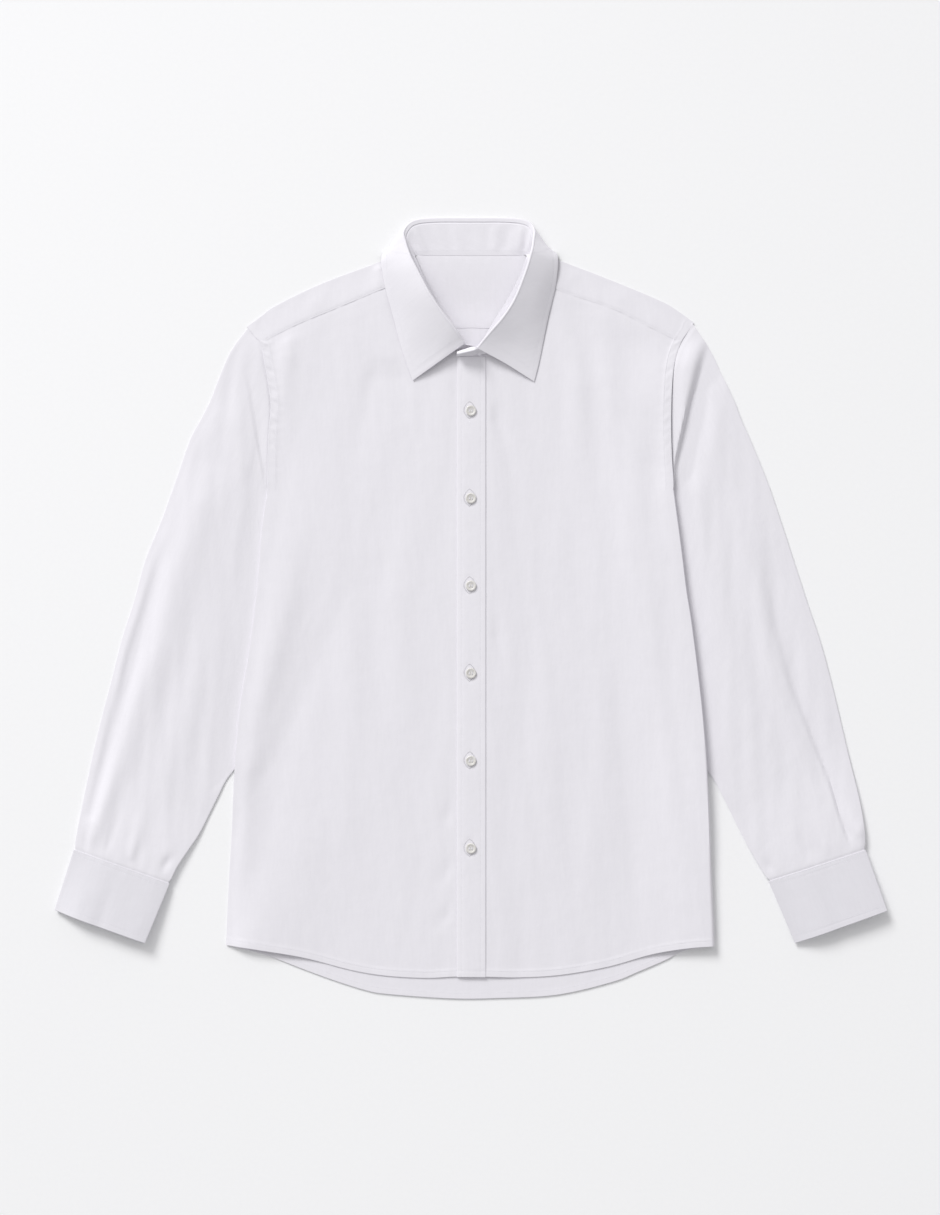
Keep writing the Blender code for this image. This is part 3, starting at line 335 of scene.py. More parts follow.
def armhole(side, offset, ys):
    """Points of the armhole seam at the given heights; offset is off the body."""
    arm, low = ARMHOLE[side], UNDERARM
    pts = np.vstack([np.stack([arm["out"], arm["y"]], -1)[:-1],
                     np.stack([low["out"], low["y"]], -1)[::-1]])
    p = Line(pts).aside(offset).p[::-1]
    rise = np.maximum.accumulate(p[:, 1])
    ys = np.minimum(np.asarray(ys, float), rise[-1])
    return np.stack([np.interp(ys, rise, p[:, 0]), ys], -1)


def coons(bottom, top, left, right, u, v):
    """Surface spanned by four border lines, as rows of points."""
    u, v = u[None, :, None], v[:, None, None]
    flat = ((1 - v) * bottom[None] + v * top[None]
            + (1 - u) * left[:, None] + u * right[:, None])
    corners = ((1 - u) * (1 - v) * bottom[0] + u * (1 - v) * bottom[-1]
               + (1 - u) * v * top[0] + u * v * top[-1])
    return flat - corners


def raised(flat, z):
    """Flat points with a height each."""
    return np.concatenate([flat, np.broadcast_to(z, flat.shape[:-1])[..., None]], -1)


def run(grid, axis, back=False):
    """Distance walked along a grid's rows or columns, from its first or its last line."""
    step = np.linalg.norm(np.diff(grid, axis=axis), axis=-1)
    pad = [(1, 0) if a == axis else (0, 0) for a in range(2)]
    walked = np.pad(np.cumsum(step, axis=axis), pad)
    return np.take(walked, [-1], axis=axis) - walked if back else walked


# %% [markdown]
# ## Creases
#
# Cloth that has been worn, ironed and laid down has a few long creases, and between them a slow
# waviness. A cloth simulation would put them anywhere. Here each crease is a line drawn on the
# pattern, with its own width on either side and its own height at each point, so that it
# starts and ends softly and one flank may be steeper than the other.

# %% Creases along drawn lines
def crease(x, y, points):
    """A soft ridge, or a trough below 0: rows of x, y, width left of the way, right, height."""
    points = np.asarray(points, float)
    best = np.full(np.shape(x), 1e9)
    z = np.zeros(np.shape(x))
    for a, b in zip(points, points[1:]):
        dx, dy = b[:2] - a[:2]
        t = np.clip(((x - a[0]) * dx + (y - a[1]) * dy) / (dx * dx + dy * dy), 0, 1)
        px, py = x - a[0] - t * dx, y - a[1] - t * dy
        d = np.hypot(px, py)
        w = np.where(dx * py - dy * px > 0, a[2] + t * (b[2] - a[2]), a[3] + t * (b[3] - a[3]))
        bump = (a[4] + t * (b[4] - a[4])) * np.exp(-(d / w) ** 2)
        z = np.where(d < best, bump, z)
        best = np.minimum(d, best)
    return z


CREASE_DEPTH = 2.15    # one hand on all drawn creases


def creases(x, y, lines):
    """All creases of one piece together."""
    return CREASE_DEPTH * sum(crease(x, y, points) for points in lines)


WAVES = 14


def waviness(x, y, seed, high, long=(120.0, 400.0), across=(16.0, 45.0)):
    """Slow unevenness of laid cloth: a few long, narrow waves, mostly along the grain."""
    rng = np.random.default_rng(seed)
    z = np.zeros(np.shape(x))
    for _ in range(WAVES):
        ky = 2 * math.pi / rng.uniform(*long) * rng.choice([-1, 1])
        kx = 2 * math.pi / rng.uniform(*across)
        z = z + np.sin(kx * x + ky * y + rng.uniform(0, 2 * math.pi)) / WAVES ** 0.5
    return high * z


def crumple(x, y, seed):
    """The finer unevenness that wearing leaves."""
    return waviness(x, y, seed, 0.05, long=(70.0, 200.0), across=(11.0, 26.0))


def pucker(along, d, pitch, reach, high, seed=1):
    """Small pleats that a seam's stitches draw up, uneven, fading away from the seam."""
    rng = np.random.default_rng(seed)
    z = 0
    for part, share in ((1.0, 0.6), (1.7, 0.4), (0.57, 0.5)):
        z = z + share * np.sin(2 * math.pi * along * part / pitch + rng.uniform(0, 6.28))
    return high * z * np.exp(-(d / reach) ** 2)


def seam_band(d, wide, high):
    """Turned-in edge: raised by its own layers, with the groove of its stitch line."""
    z = high * ramp(wide + 1.6, wide + 0.2, d) + 0.14 * np.exp(-((d - wide - 1.1) / 0.9) ** 2)
    return z - 0.12 * np.exp(-((d - wide + 0.4) / 0.6) ** 2)


# %% [markdown]
# ## Heights
#
# The shirt lies in layers: the back on the floor, the sleeves beside it and partly under the
# sides, and the fronts over all. These functions give the mid-surface of each layer anywhere.

# %% Heights of the layers
OVER_SPAN = {-1: 38.0, 1: 62.0}    # the fronts start to rise this far in from a sleeve's edge


def side_x(side, y):
    """How far out the pressed side edge runs."""
    return smooth_read(y, SIDE["y"], SIDE["right" if side < 0 else "left"])


def sleeve_inner_x(side, y):
    """Inner edge of the sleeve that lies under the body, with the lower armhole above it."""
    tab = SLEEVE_IN[side]
    ys = np.concatenate([tab["y"][::-1], UNDERARM["y"][2:]])
    xs = np.concatenate([tab["out"][::-1], UNDERARM["out"][2:]])
    y = np.asarray(y, float)
    return smooth_read(y, ys, xs) + 1.2 * np.maximum(y - ARM_LOW, 0.0)


def neck_lift(out, y):
    """What lies over the collar's leaf behind the neck is lifted by it."""
    return NECK_LIFT * ramp(112.0, 84.0, np.abs(out)) * ramp(302.0, 355.0, y)


def strip_z(side, out, y):
    """Mid-surface of the strip turned under at the side: over the sleeve, then the floor."""
    return FLOOR_MID + TUCK * ramp(-15.5, -4.5, out - sleeve_inner_x(side, y))


def front_z(side, out, y):
    """Mid-surface of a front or of the front part of the yoke, before its creases."""
    over = ramp(-OVER_SPAN[side], -12.0, out - sleeve_inner_x(side, np.minimum(y, 40.0)))
    arm_x = armhole(side, 0.0, np.clip(y, ARM_LOW, 275.0))[..., 0]
    over = over * ramp(205.0, 55.0, y) * (1 - ramp(108, 150, y) * ramp(55.0, 0.0, arm_x - out))
    z = LIE + OVER_SLEEVE[side] * over + neck_lift(out, y)
    puff = smooth_read(y, EDGE_PUFF[side]["y"], EDGE_PUFF[side]["z"])
    inwards = side_x(side, y) - out
    if side < 0:       # the lit side: its edge lies down, and the cloth rises behind it
        puff = puff * ramp(-6.0, 24.0, inwards) * ramp(110.0, 30.0, inwards)
        z = z + puff * ramp(140, ARM_LOW, y)
        z = z - (LIE - EDGE_LOW) * ramp(16.0, 0.0, inwards) * ramp(-160.0, -195.0, y)
    else:
        z = z + puff * ramp(90.0, 0.0, inwards)
    z = z + (1.25 * ramp(60.0, 17.0, out) if side > 0 else 0.3 * ramp(60.0, 15.0, out))
    return np.maximum(z, strip_z(side, out, y) + WALL + 0.15)


# %% [markdown]
# ## From a surface to cloth
#
# A single sheet of faces has no edge to catch light. `cloth` welds the patches of one piece,
# gives the sheet a wall on both sides, and closes it all round with a rounded rim. Each face
# keeps its place on the flat cut piece as a UV map, in metres, so that the weave follows it.

# %% Cloth from welded patches
def new_object(name, verts, edges, faces):
    """A mesh object in the scene."""
    mesh = bpy.data.meshes.new(name)
    mesh.from_pydata(verts, edges, faces)
    ob = bpy.data.objects.new(name, mesh)
    scene.collection.objects.link(ob)
    return ob


def tell_size(ob):
    print("%s: %d triangles" % (ob.name, sum(len(p.vertices) - 2 for p in ob.data.polygons)))


def cloth(name, patches, wall=WALL, flats=None):
    """A closed thin shell. wall is one thickness, or one array for each patch."""
    flats = flats or [g[..., :2] for g in patches]
    walls = wall if isinstance(wall, list) else [np.full(g.shape[:2], wall) for g in patches]
    points = np.vstack([g.reshape(-1, 3) for g in patches])
    _, first, ids = np.unique(np.round(points, 2), axis=0, return_index=True, return_inverse=True)
    ids = ids.reshape(-1)
    mid = points[first]
    half = np.concatenate([w.reshape(-1) for w in walls])[first] / 2
    quads, base = [], 0
    for g in patches:
        n, m = g.shape[:2]
        k = base + np.arange(n * m).reshape(n, m)
        quads.append(np.stack([k[:-1, :-1], k[:-1, 1:], k[1:, 1:], k[1:, :-1]], -1).reshape(-1, 4))
        base += n * m
    corners = np.vstack(quads)
    flat = np.vstack([f.reshape(-1, 2) for f in flats]) * 0.001
    bm = bmesh.new()
    verts = [bm.verts.new(p) for p in mid]
    uv_layer = bm.loops.layers.uv.new("cut")
    for quad in corners:
        ring = []
        for c in quad:
            if ids[c] not in [ids[r] for r in ring]:
                ring.append(c)
        if len(ring) > 2:
            face = bm.faces.new([verts[ids[c]] for c in ring])
            for loop, c in zip(face.loops, ring):
                loop[uv_layer].uv = flat[c]
    bmesh.ops.recalc_face_normals(bm, faces=bm.faces)
    bm.normal_update()
    bm.verts.index_update()
    normal = np.array([v.normal for v in verts])
    faces = [[v.index for v in f.verts] for f in bm.faces]
    face_uv = [[tuple(loop[uv_layer].uv) for loop in f.loops] for f in bm.faces]
    rim, outward = [], {}
    for e in bm.edges:
        if len(e.link_faces) == 1:
            loop = next(k for k in e.link_faces[0].loops if k.edge == e)
            a, b = loop.vert, loop.link_loop_next.vert
            out = (b.co - a.co).cross(e.link_faces[0].normal)
            rim.append((a.index, b.index, tuple(loop[uv_layer].uv)))
            for v in (a, b):
                outward[v.index] = outward.get(v.index, Vector()) + out
    bm.free()
    n = len(mid)
    top, under = mid + normal * half[:, None], mid - normal * half[:, None]
    edge_id = {k: 2 * n + i for i, k in enumerate(outward)}
    edge = np.array([mid[k] + np.array(out.normalized()) * half[k] * 0.8
                     for k, out in outward.items()]).reshape(-1, 3)
    faces2 = [[n + k for k in reversed(f)] for f in faces]
    uv2 = [list(reversed(u)) for u in face_uv]
    around = []
    for a, b, uv in rim:
        around.append(([b, a, edge_id[a], edge_id[b]], [uv] * 4))
        around.append(([edge_id[b], edge_id[a], n + a, n + b], [uv] * 4))
    all_faces = faces + faces2 + [f for f, _ in around]
    all_uv = face_uv + uv2 + [u for _, u in around]
    place = (np.vstack([top, under, edge]) + SHIFT) * 0.001
    ob = new_object(name, place.tolist(), [], all_faces)
    layer = ob.data.uv_layers.new(name="cut")
    layer.data.foreach_set("uv", [c for f in all_uv for uv in f for c in uv])
    ob.data.shade_smooth()
    ob.data.set_sharp_from_angle(angle=math.radians(40))
    tell_size(ob)
    return ob


def mirrored(side, patches):
    """Half patterns are drawn outwards: the right side's x comes out negative."""
    return [g * np.array([side, 1.0, 1.0]) for g in patches]


def dress(ob, node, stuff):
    """Takes a node's place on the shirt, in a material."""
    ob.data.materials.append(stuff)
    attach(ob, "root")
    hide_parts(node)
    return ob


# %% [markdown]
# ## Cotton poplin
#
# Poplin has fine warp threads closely set and thicker weft threads across them. Both are bands in
# the bump, on the flat piece's own coordinates. Over them lie slubs, a faint unevenness of tone
# along the warp, and the small dents that ironing leaves.

# %% Material helpers
def adder(tree):
    """A function that adds a node to the tree, with its links and its settings."""
    def add(kind, links=(), **values):
        node = tree.nodes.new(kind)
        for key, value in values.items():
            if key in node.inputs:
                node.inputs[key].default_value = value
            else:
                setattr(node, key, value)
        for source, target in links:
            tree.links.new(source, node.inputs[target])
        return node

    return add


def new_stuff(name):
    """A material, its shader, and the functions that add and link its nodes."""
    stuff = bpy.data.materials.new(name)
    stuff.use_nodes = True
    tree = stuff.node_tree
    return stuff, tree.nodes["Principled BSDF"], adder(tree), tree.links.new


def tones(ramp_node, *stops):
    """Sets a colour ramp's stops: position and colour."""
    ramp_node.color_ramp.elements[0].position, ramp_node.color_ramp.elements[0].color = stops[0]
    ramp_node.color_ramp.elements[1].position, ramp_node.color_ramp.elements[1].color = stops[-1]
    for position, colour in stops[1:-1]:
        ramp_node.color_ramp.elements.new(position).color = colour


def mottled(name, noise, stops, relief, settings):
    """A material whose tone and fine relief follow one cloud of noise."""
    stuff, shader, add, link = new_stuff(name)
    place = add("ShaderNodeTexCoord")
    cloud = add("ShaderNodeTexNoise", [(place.outputs["Object"], "Vector")], **noise)
    tone = add("ShaderNodeValToRGB", [(cloud.outputs["Fac"], "Fac")])
    tones(tone, *stops)
    link(tone.outputs["Color"], shader.inputs["Base Color"])
    bump = add("ShaderNodeBump", [(cloud.outputs["Fac"], "Height")], **relief)
    link(bump.outputs["Normal"], shader.inputs["Normal"])
    for key, value in settings.items():
        shader.inputs[key].default_value = value
    return stuff


# %% Cotton poplin
WARP_BANDS, WEFT_BANDS = 900.0, 560.0      # wave scales: 0.35 mm and 0.56 mm a thread
COOL_WHITE = (0.812, 0.795, 0.836)
CUFF_SHADE_WHITE = (0.742, 0.728, 0.768)        # the cuffs' white, darker: painted shade, as if their tops sloped away from the lamp


def cotton_poplin(name, tint):
    """The shirting: tone, slubs, ironing dents and the weave."""
    stuff, shader, add, link = new_stuff(name)
    cut = add("ShaderNodeUVMap", uv_map="cut")
    along = add("ShaderNodeMapping", [(cut.outputs["UV"], "Vector")], Scale=(1.0, 0.16, 1.0))
    slub = add("ShaderNodeTexNoise", [(along.outputs["Vector"], "Vector")], Scale=320.0, Detail=3.0)
    tone = add("ShaderNodeValToRGB", [(slub.outputs["Fac"], "Fac")])
    tones(tone, (0.3, (*[c * 0.988 for c in tint], 1)), (0.7, (*[c * 1.008 for c in tint], 1)))
    link(tone.outputs["Color"], shader.inputs["Base Color"])
    shader.inputs["Roughness"].default_value = 0.82
    shader.inputs["Specular IOR Level"].default_value = 0.3
    shader.inputs["Sheen Weight"].default_value = 0.08
    shader.inputs["Sheen Roughness"].default_value = 0.4
    dents = add("ShaderNodeTexNoise", [(cut.outputs["UV"], "Vector")], Scale=26.0, Detail=4.0,
                Roughness=0.55)
    ironed = add("ShaderNodeBump", [(dents.outputs["Fac"], "Height")], Strength=0.8, Distance=0.0007)
    streak = add("ShaderNodeTexNoise", [(along.outputs["Vector"], "Vector")], Scale=110.0, Detail=2.0)
    streaked = add("ShaderNodeBump", [(streak.outputs["Fac"], "Height"),
                                      (ironed.outputs["Normal"], "Normal")],
                   Strength=0.5, Distance=0.00005)
    warp = add("ShaderNodeTexWave", [(cut.outputs["UV"], "Vector")], wave_type="BANDS",
               bands_direction="X", Scale=WARP_BANDS, Distortion=0.4)
    weft = add("ShaderNodeTexWave", [(cut.outputs["UV"], "Vector")], wave_type="BANDS",
               bands_direction="Y", Scale=WEFT_BANDS, Distortion=0.6)
    crossed = add("ShaderNodeMath", [(warp.outputs["Fac"], 0), (weft.outputs["Fac"], 1)],
                  operation="MAXIMUM")
    woven = add("ShaderNodeBump", [(crossed.outputs["Value"], "Height"),
                                   (streaked.outputs["Normal"], "Normal")],
                Strength=0.35, Distance=0.00005)
    link(woven.outputs["Normal"], shader.inputs["Normal"])
    return stuff


poplin = cotton_poplin("cotton_poplin", COOL_WHITE)
cuff_shade_poplin = cotton_poplin("cotton_poplin_cuff_shade", CUFF_SHADE_WHITE)


# %% [markdown]
# ## Fronts
#
# Each front is one cut piece: from the edge under the placket out to the side, where it turns
# under and runs back to the side seam beneath the shirt. Its hem is turned twice and stitched.
# Near the armhole the seam's layers are stitched down in a band, and the top runs in under the
# yoke's edge.

# %% Creases of the fronts
FRONT_CREASES = {
    -1: [[(-146, 60, 24, 22, 0), (-150, 29, 24, 22, -0.3), (-170, -44, 24, 22, -0.8),
          (-192, -111, 22, 20, -0.9), (-207, -175, 20, 18, -0.8), (-220, -263, 18, 16, -0.6),
          (-238, -325, 16, 14, -0.2)],
         [(-178, 110, 14, 20, 0), (-190, 20, 14, 20, 0.6), (-206, -50, 13, 18, 0.9),
          (-222, -112, 12, 16, 0.7), (-236, -190, 11, 14, 0.4), (-242, -270, 10, 12, 0.1)],
         [(-188, 300, 9, 14, 0.1), (-190, 262, 10, 16, 0.9), (-194, 215, 12, 20, 0.4),
          (-198, 170, 12, 20, 0)],
         [(-92, 262, 12, 12, 0), (-100, 240, 14, 10, -0.7), (-109, 190, 16, 12, -0.3),
          (-112, 150, 16, 12, 0)],
         [(-80, 262, 10, 10, 0), (-76, 240, 10, 12, -0.6), (-72, 190, 14, 14, 0)],
         [(-60, 120, 18, 14, 0), (-70, 20, 20, 16, 0.6), (-76, -120, 20, 16, 0.5),
          (-80, -260, 18, 16, 0)],
         [(-118, 80, 16, 14, 0), (-124, -60, 18, 16, 0.45), (-128, -220, 18, 16, 0.5),
          (-132, -330, 16, 16, 0)],
         [(-150, -150, 18, 16, 0), (-160, -240, 20, 18, 0.5), (-172, -330, 18, 16, 0.1)],
         [(-16, -190, 4, 6, 0), (-20, -214, 4, 8, -0.5), (-30, -236, 6, 10, 0)],
         [(-16, -250, 4, 6, 0), (-21, -272, 5, 8, -0.5), (-34, -292, 6, 10, 0)],
         [(-16, -300, 4, 6, 0), (-24, -320, 5, 8, -0.45), (-40, -340, 6, 10, 0)]],
    1: [[(186, 215, 10, 12, 0), (188, 150, 12, 12, -0.6), (190, 130, 10, 12, -0.5),
         (192, 60, 10, 12, 0)],
        [(160, 200, 12, 12, 0), (166, 90, 14, 14, 0.55), (176, 0, 14, 14, 0.7),
         (186, -90, 14, 14, 0.4), (196, -180, 14, 14, 0)],
        [(196, 30, 8, 12, 0), (206, -60, 9, 12, -0.5), (214, -140, 10, 12, -0.4),
         (222, -240, 10, 12, 0)],
        [(108, 280, 12, 14, 0), (112, 230, 14, 16, 0.5), (108, 120, 16, 16, 0.3),
         (104, 30, 16, 16, 0)],
        [(138, 285, 9, 10, 0), (142, 240, 10, 12, 0.45), (150, 150, 12, 14, 0.3),
         (154, 80, 12, 14, 0)],
        [(126, 40, 16, 16, 0), (132, -90, 18, 18, 0.5), (136, -230, 18, 18, 0.5),
         (138, -330, 16, 16, 0)],
        [(84, 0, 16, 16, 0), (80, -140, 18, 18, 0.5), (78, -300, 18, 18, 0.1)],
        [(24, 215, 5, 5, 0), (28, 196, 6, 6, -0.6), (40, 160, 8, 8, -0.2), (50, 130, 9, 9, 0)],
        [(22, 10, 6, 6, 0), (28, -29, 7, 7, -0.45), (36, -70, 8, 8, 0)],
        [(196, -60, 14, 14, 0), (206, -180, 15, 15, 0.6), (216, -300, 14, 14, 0.2)]],
}


# %% One front
def roll_width(side, y):
    """How far a side edge rolls outwards: pressed sharp, but loose low down on the left."""
    return 0.06 if side < 0 else 0.7 + 0.8 * ramp(-90, -200, y) + 1.4 * ramp(-220, -300, y)


HEM_ROWS = np.array([0, 0.5, 1.3, 2.5, 3.8, 4.8, 5.5, 6.3, 7.2, 8.5, 10.3])
ARM_ROWS = np.array([12, 10.2, 8.6, 7.2, 6, 5, 4, 3.2, 2.4, 1.6, 0.8, 0])
TURN_COLUMNS, STRIP_COLUMNS = 9, 6
HEM_STITCH = 6.0                   # its stitches run this far above the hem's edge
ARM_PUCKER = {-1: 0.34, 1: 0.16}   # height of the pleats that the armhole's stitches draw up


def front_flat(side):
    """One front laid out: its grid of points, its side edge's points, and their heights."""
    neck, yoke = line_of(FRONT_NECK[side]), line_of(YOKE_FRONT[side])
    close = BAND_COLUMNS / yoke.s[-1]
    share = np.concatenate([np.linspace(1, close[-1], 66)[:-1], close[::-1]])
    above = yoke.at(share)
    above[:, 1] += -SEAM + (UNDER + SEAM) * ramp(0.0, 12.0, run(above[None], 1)[0])
    top = np.vstack([neck.at(np.linspace(1, 0, 24)) - [0, SEAM], above[1:]])
    arm_top = top[-1, 1]
    ys = np.concatenate([-350 + HEM_ROWS, np.linspace(-337.3, ARM_LOW, 187)])
    arm_ys = np.concatenate([np.linspace(ARM_LOW, arm_top - 14, 58)[1:], arm_top - ARM_ROWS])
    edge = np.stack([side_x(side, ys) - roll_width(side, ys), ys], -1)
    outer = np.vstack([edge, armhole(side, -SEAM, arm_ys)])
    top[-1] = outer[-1]

    first = -CENTRE if side < 0 else LAP
    u = np.maximum.accumulate((top[:, 0] - first) / (top[-1, 0] - first))
    u[0] = 0.0
    bottom_x = first + (outer[0, 0] - first) * u
    bottom = np.stack([bottom_x, smooth_read(side * bottom_x, HEM_FRONT["x"], HEM_FRONT["y"])], -1)
    outer[0] = bottom[-1]
    v = (outer[:, 1] - outer[0, 1]) / (outer[-1, 1] - outer[0, 1])
    inner = np.stack([np.full(len(v), first), bottom[0, 1] + v * (top[0, 1] - bottom[0, 1])], -1)
    return coons(bottom, top, inner, outer, u, v), outer[:len(ys)], ys


def front_heights(side, flat, ys):
    """Mid-surface of a front with its creases, hem and seams, and the thickness of its wall."""
    out, y = flat[..., 0], flat[..., 1]
    x = side * out
    up, down = run(flat, 0), run(flat, 0, back=True)
    seam = down - UNDER
    from_arm = np.hypot(*(flat - armhole(side, 0.0, np.clip(y, ARM_LOW, 280.0))).transpose(2, 0, 1))
    z = front_z(side, out, y)
    z[:len(ys), -1] = front_z(side, side_x(side, ys), ys)
    calm = ramp(0, 18, side_x(side, y) - out) * ramp(15, 26, out)
    calm = calm * ramp(0, 14, seam) * ramp(0, 10, up)
    slow = waviness(x, y, 5 + side, 0.22, across=(30.0, 80.0))
    z = z + calm * (creases(x, y, FRONT_CREASES[side]) + slow + crumple(x, y, 15 + side))

    # the hem and its stitches
    hem = np.where(up < 12, seam_band(up, HEM_STITCH + 0.2, 0.10), 0.0)
    z = z + hem + pucker(x + 0.7 * up, up - HEM_STITCH, 9.0, 5.0, 0.10 * ramp(0.0, 5.0, up))
    # the felled band beside the armhole
    arm = ramp(120.0, 134.0, y) * ramp(16.0, 12.0, from_arm)
    z = z + arm * seam_band(from_arm, BAND_WIDE, 0.42)
    drawn = ARM_PUCKER[side] * ramp(150, 190, y) + 0.08
    z = z + ramp(120, 140, y) * pucker(y + 0.6 * from_arm, from_arm - 4.5, 11.0, 3.0, drawn, 3)
    z = z + ramp(120, 140, y) * pucker(y, from_arm - 10.5, 9.0, 5.0, 0.10, 6)
    # under the yoke's edge
    z = z - 0.2 * ramp(16.0, 0.5, seam) * ramp(40, 60, out)
    z = z + ramp(45, 65, out) * pucker(x, seam, 10.0, 8.0, 0.08, 4)
    z = np.maximum(z, strip_z(side, out, y) + WALL + 0.1)
    wall = WALL + 0.3 * ramp(7.0, 6.0, up) - 0.25 * ramp(4.0, 0.5, seam) * ramp(40, 50, out)
    return z, wall


def turned_under(side, start, ys, row_y):
    """The turned edge and the strip under it, out from a front's last column of points."""
    begin, z_top, z_low = start[:, 0], start[:, 2], strip_z(side, side_x(side, ys), ys)
    middle, tall = (z_top + z_low) / 2, np.maximum((z_top - z_low) / 2, 0.5)
    angle = np.linspace(math.pi / 2, -math.pi / 2, TURN_COLUMNS)
    radius = roll_width(side, ys) * np.ones(len(ys))
    tucked = begin - (OVERHANG * ramp(-150.0, -190.0, ys) if side < 0 else 0.0)
    turn = np.stack([begin[:, None] + radius[:, None] * np.cos(angle)
                     - (begin - tucked)[:, None] * (1 - np.sin(angle)) / 2,
                     np.repeat(row_y, TURN_COLUMNS, 1),
                     middle[:, None] + tall[:, None] * np.sin(angle)], -1)
    turn[:, 0] = start
    seam_x = np.where(ys >= SEAM_END[1], armhole(side, SEAM, ys)[:, 0],
                      smooth_read(ys, SIDE_SEAM["y"], SIDE_SEAM["out"]) + SEAM)
    foot = np.minimum(sleeve_inner_x(side, ys), tucked)
    xs = np.stack([(tucked + foot) / 2, foot - 4, foot - 7.5, foot - 11, foot - 14.5, seam_x], -1)
    plain = tucked[:, None] + (seam_x - tucked)[:, None] * np.arange(1, 7) / STRIP_COLUMNS
    xs = np.where((foot >= tucked - 16)[:, None], plain, np.clip(xs, seam_x[:, None], tucked[:, None]))
    xs[-1] = begin[-1]
    zs = strip_z(side, xs, ys[:, None])
    zs = np.where(xs >= tucked[:, None] - 1e-6, turn[:, -1:, 2], zs)
    strip = np.stack([xs, np.repeat(row_y, STRIP_COLUMNS, 1), zs], -1)
    under = np.concatenate([turn, strip], 1)
    return under, np.stack([begin[:, None] + run(under, 1), under[..., 1]], -1)


def front(side, name):
    """One front with its turned-under strip; its upper grid comes back too."""
    flat, edge, ys = front_flat(side)
    z, wall = front_heights(side, flat, ys)
    main = raised(flat, z)
    under, flat_under = turned_under(side, main[:len(ys), -1], ys, edge[:, 1:])
    walls = [wall, np.repeat(wall[:len(ys), -1:], under.shape[1], 1)]
    grids = mirrored(side, [main, under])
    flats = [flat * [side, 1], flat_under * [side, 1]]
    return cloth(name, grids, walls, flats), grids[0]


front_right, right_grid = front(-1, "cloth_front_right")
front_left, left_grid = front(1, "cloth_front_left")
dress(front_right, "front_right", poplin)
dress(front_left, "front_left", poplin)

# %% [markdown]
# ## Back panel
#
# It lies on the floor under everything. Below the fronts a strip of it shows, where the back hem
# lifts a little off the floor. Its upper edge runs in under the yoke.

# %% Back panel
BACK_HEM_STITCH = 5.6


def back_side(side):
    """The panel's side: up its seam with the front, then along the lower armhole."""
    ys = np.concatenate([-352 + np.array([0, 0.6, 1.5, 3, 4.5, 6, 7.2, 9, 12, 16, 21, 27, 34, 42]),
                         np.linspace(-300, 42, 40), [SEAM_END[1]]])
    low = np.stack([smooth_read(ys, SIDE_SEAM["y"], SIDE_SEAM["out"]) - SEAM, ys], -1)
    low[-1] = [SEAM_END[0] - SEAM, SEAM_END[1] + SEAM]
    arm = armhole(side, -SEAM, np.concatenate([np.linspace(58, 225, 24),
                                               YOKE_TIP + UNDER - np.array([24, 16, 10, 6, 3, 1, 0])]))
    return np.vstack([low, arm])


def yoke_back_y(out):
    """Height of the yoke's back seam."""
    return smooth_read(np.abs(out), YOKE_BACK["out"], YOKE_BACK["y"])


right_side, left_side = back_side(-1), back_side(1)
right_side[:, 0] *= -1
u = np.linspace(0, 1, 130)
bx = right_side[0, 0] + u * (left_side[0, 0] - right_side[0, 0])
bottom = np.stack([bx, smooth_read(bx, HEM_BACK["x"], HEM_BACK["y"])], -1)
tx = right_side[-1, 0] + u * (left_side[-1, 0] - right_side[-1, 0])
top = np.stack([tx, yoke_back_y(tx) + UNDER], -1)
for border, k in ((right_side, 0), (left_side, -1)):
    border[0], border[-1] = bottom[k], top[k]
v = (right_side[:, 1] - right_side[0, 1]) / (right_side[-1, 1] - right_side[0, 1])
flat = coons(bottom, top, right_side, left_side, u, v)
x, y = flat[..., 0], flat[..., 1]
up = run(flat, 0)
gap = smooth_read(x, HEM_FRONT["x"], HEM_FRONT["y"]) - smooth_read(x, HEM_BACK["x"], HEM_BACK["y"])
lift = 1.15 * ramp(1.0, 8.0, gap) * ramp(gap + 16, gap + 3, up)
z = 0.3 + lift - 0.12 * np.exp(-((up - BACK_HEM_STITCH) / 0.7) ** 2) * ramp(2.0, 8.0, gap)
z += pucker(x + 0.5 * up, up - 6, 9.0, 4.0, 0.07, 7) * ramp(0, 0.5, lift)
back_grid = raised(flat, z)
back = cloth("cloth_back_panel", [back_grid], [WALL + 0.3 * ramp(7.0, 6.0, up)])
dress(back, "back_panel", poplin)


# %% [markdown]
# ## Yoke
#
# One piece lies across the shoulder blades, folds over both shoulders and comes down to a seam
# on each front. Its seam edges are turned in and stitched over the fronts and the back panel, so
# they stand up a little: a bright edge with a thin shadow under it.

# %% Yoke
FOLD_R, FOLD_ROLL = 0.42, 0.15      # half the height of the pressed fold, and how far it rolls out
YOKE_COLUMNS = 72
SEAM_ROWS = np.array([0, 0.35, 0.8, 1.3, 1.8, 2.4, 3.2, 4.2, 5.4, 6.6, 7.8, 9.2]) / 30
YOKE_STITCH = 1.9      # the stitches run this far above the front seam
YOKE_RISE = {-1: 0.10, 1: 0.02}    # how much its seam's edge stands up
YOKE_THIN = {-1: 0.28, 1: 0.34}    # how much thinner that edge is
YOKE_CREASES = {
    -1: [[(-98, 362, 2.5, 3.5, 0), (-95, 352, 2.5, 4, 0.8), (-93, 340, 3, 4, 0.5), (-92, 330, 3, 4, 0)],
         [(-150, 336, 8, 8, 0), (-160, 318, 8, 8, 0.3), (-166, 304, 8, 8, 0)]],
    1: [[(100, 358, 6, 6, 0), (106, 344, 6, 7, 0.35), (110, 330, 7, 7, 0)],
        [(150, 336, 8, 8, 0), (158, 322, 8, 8, 0.3), (164, 308, 8, 8, 0)]],
}


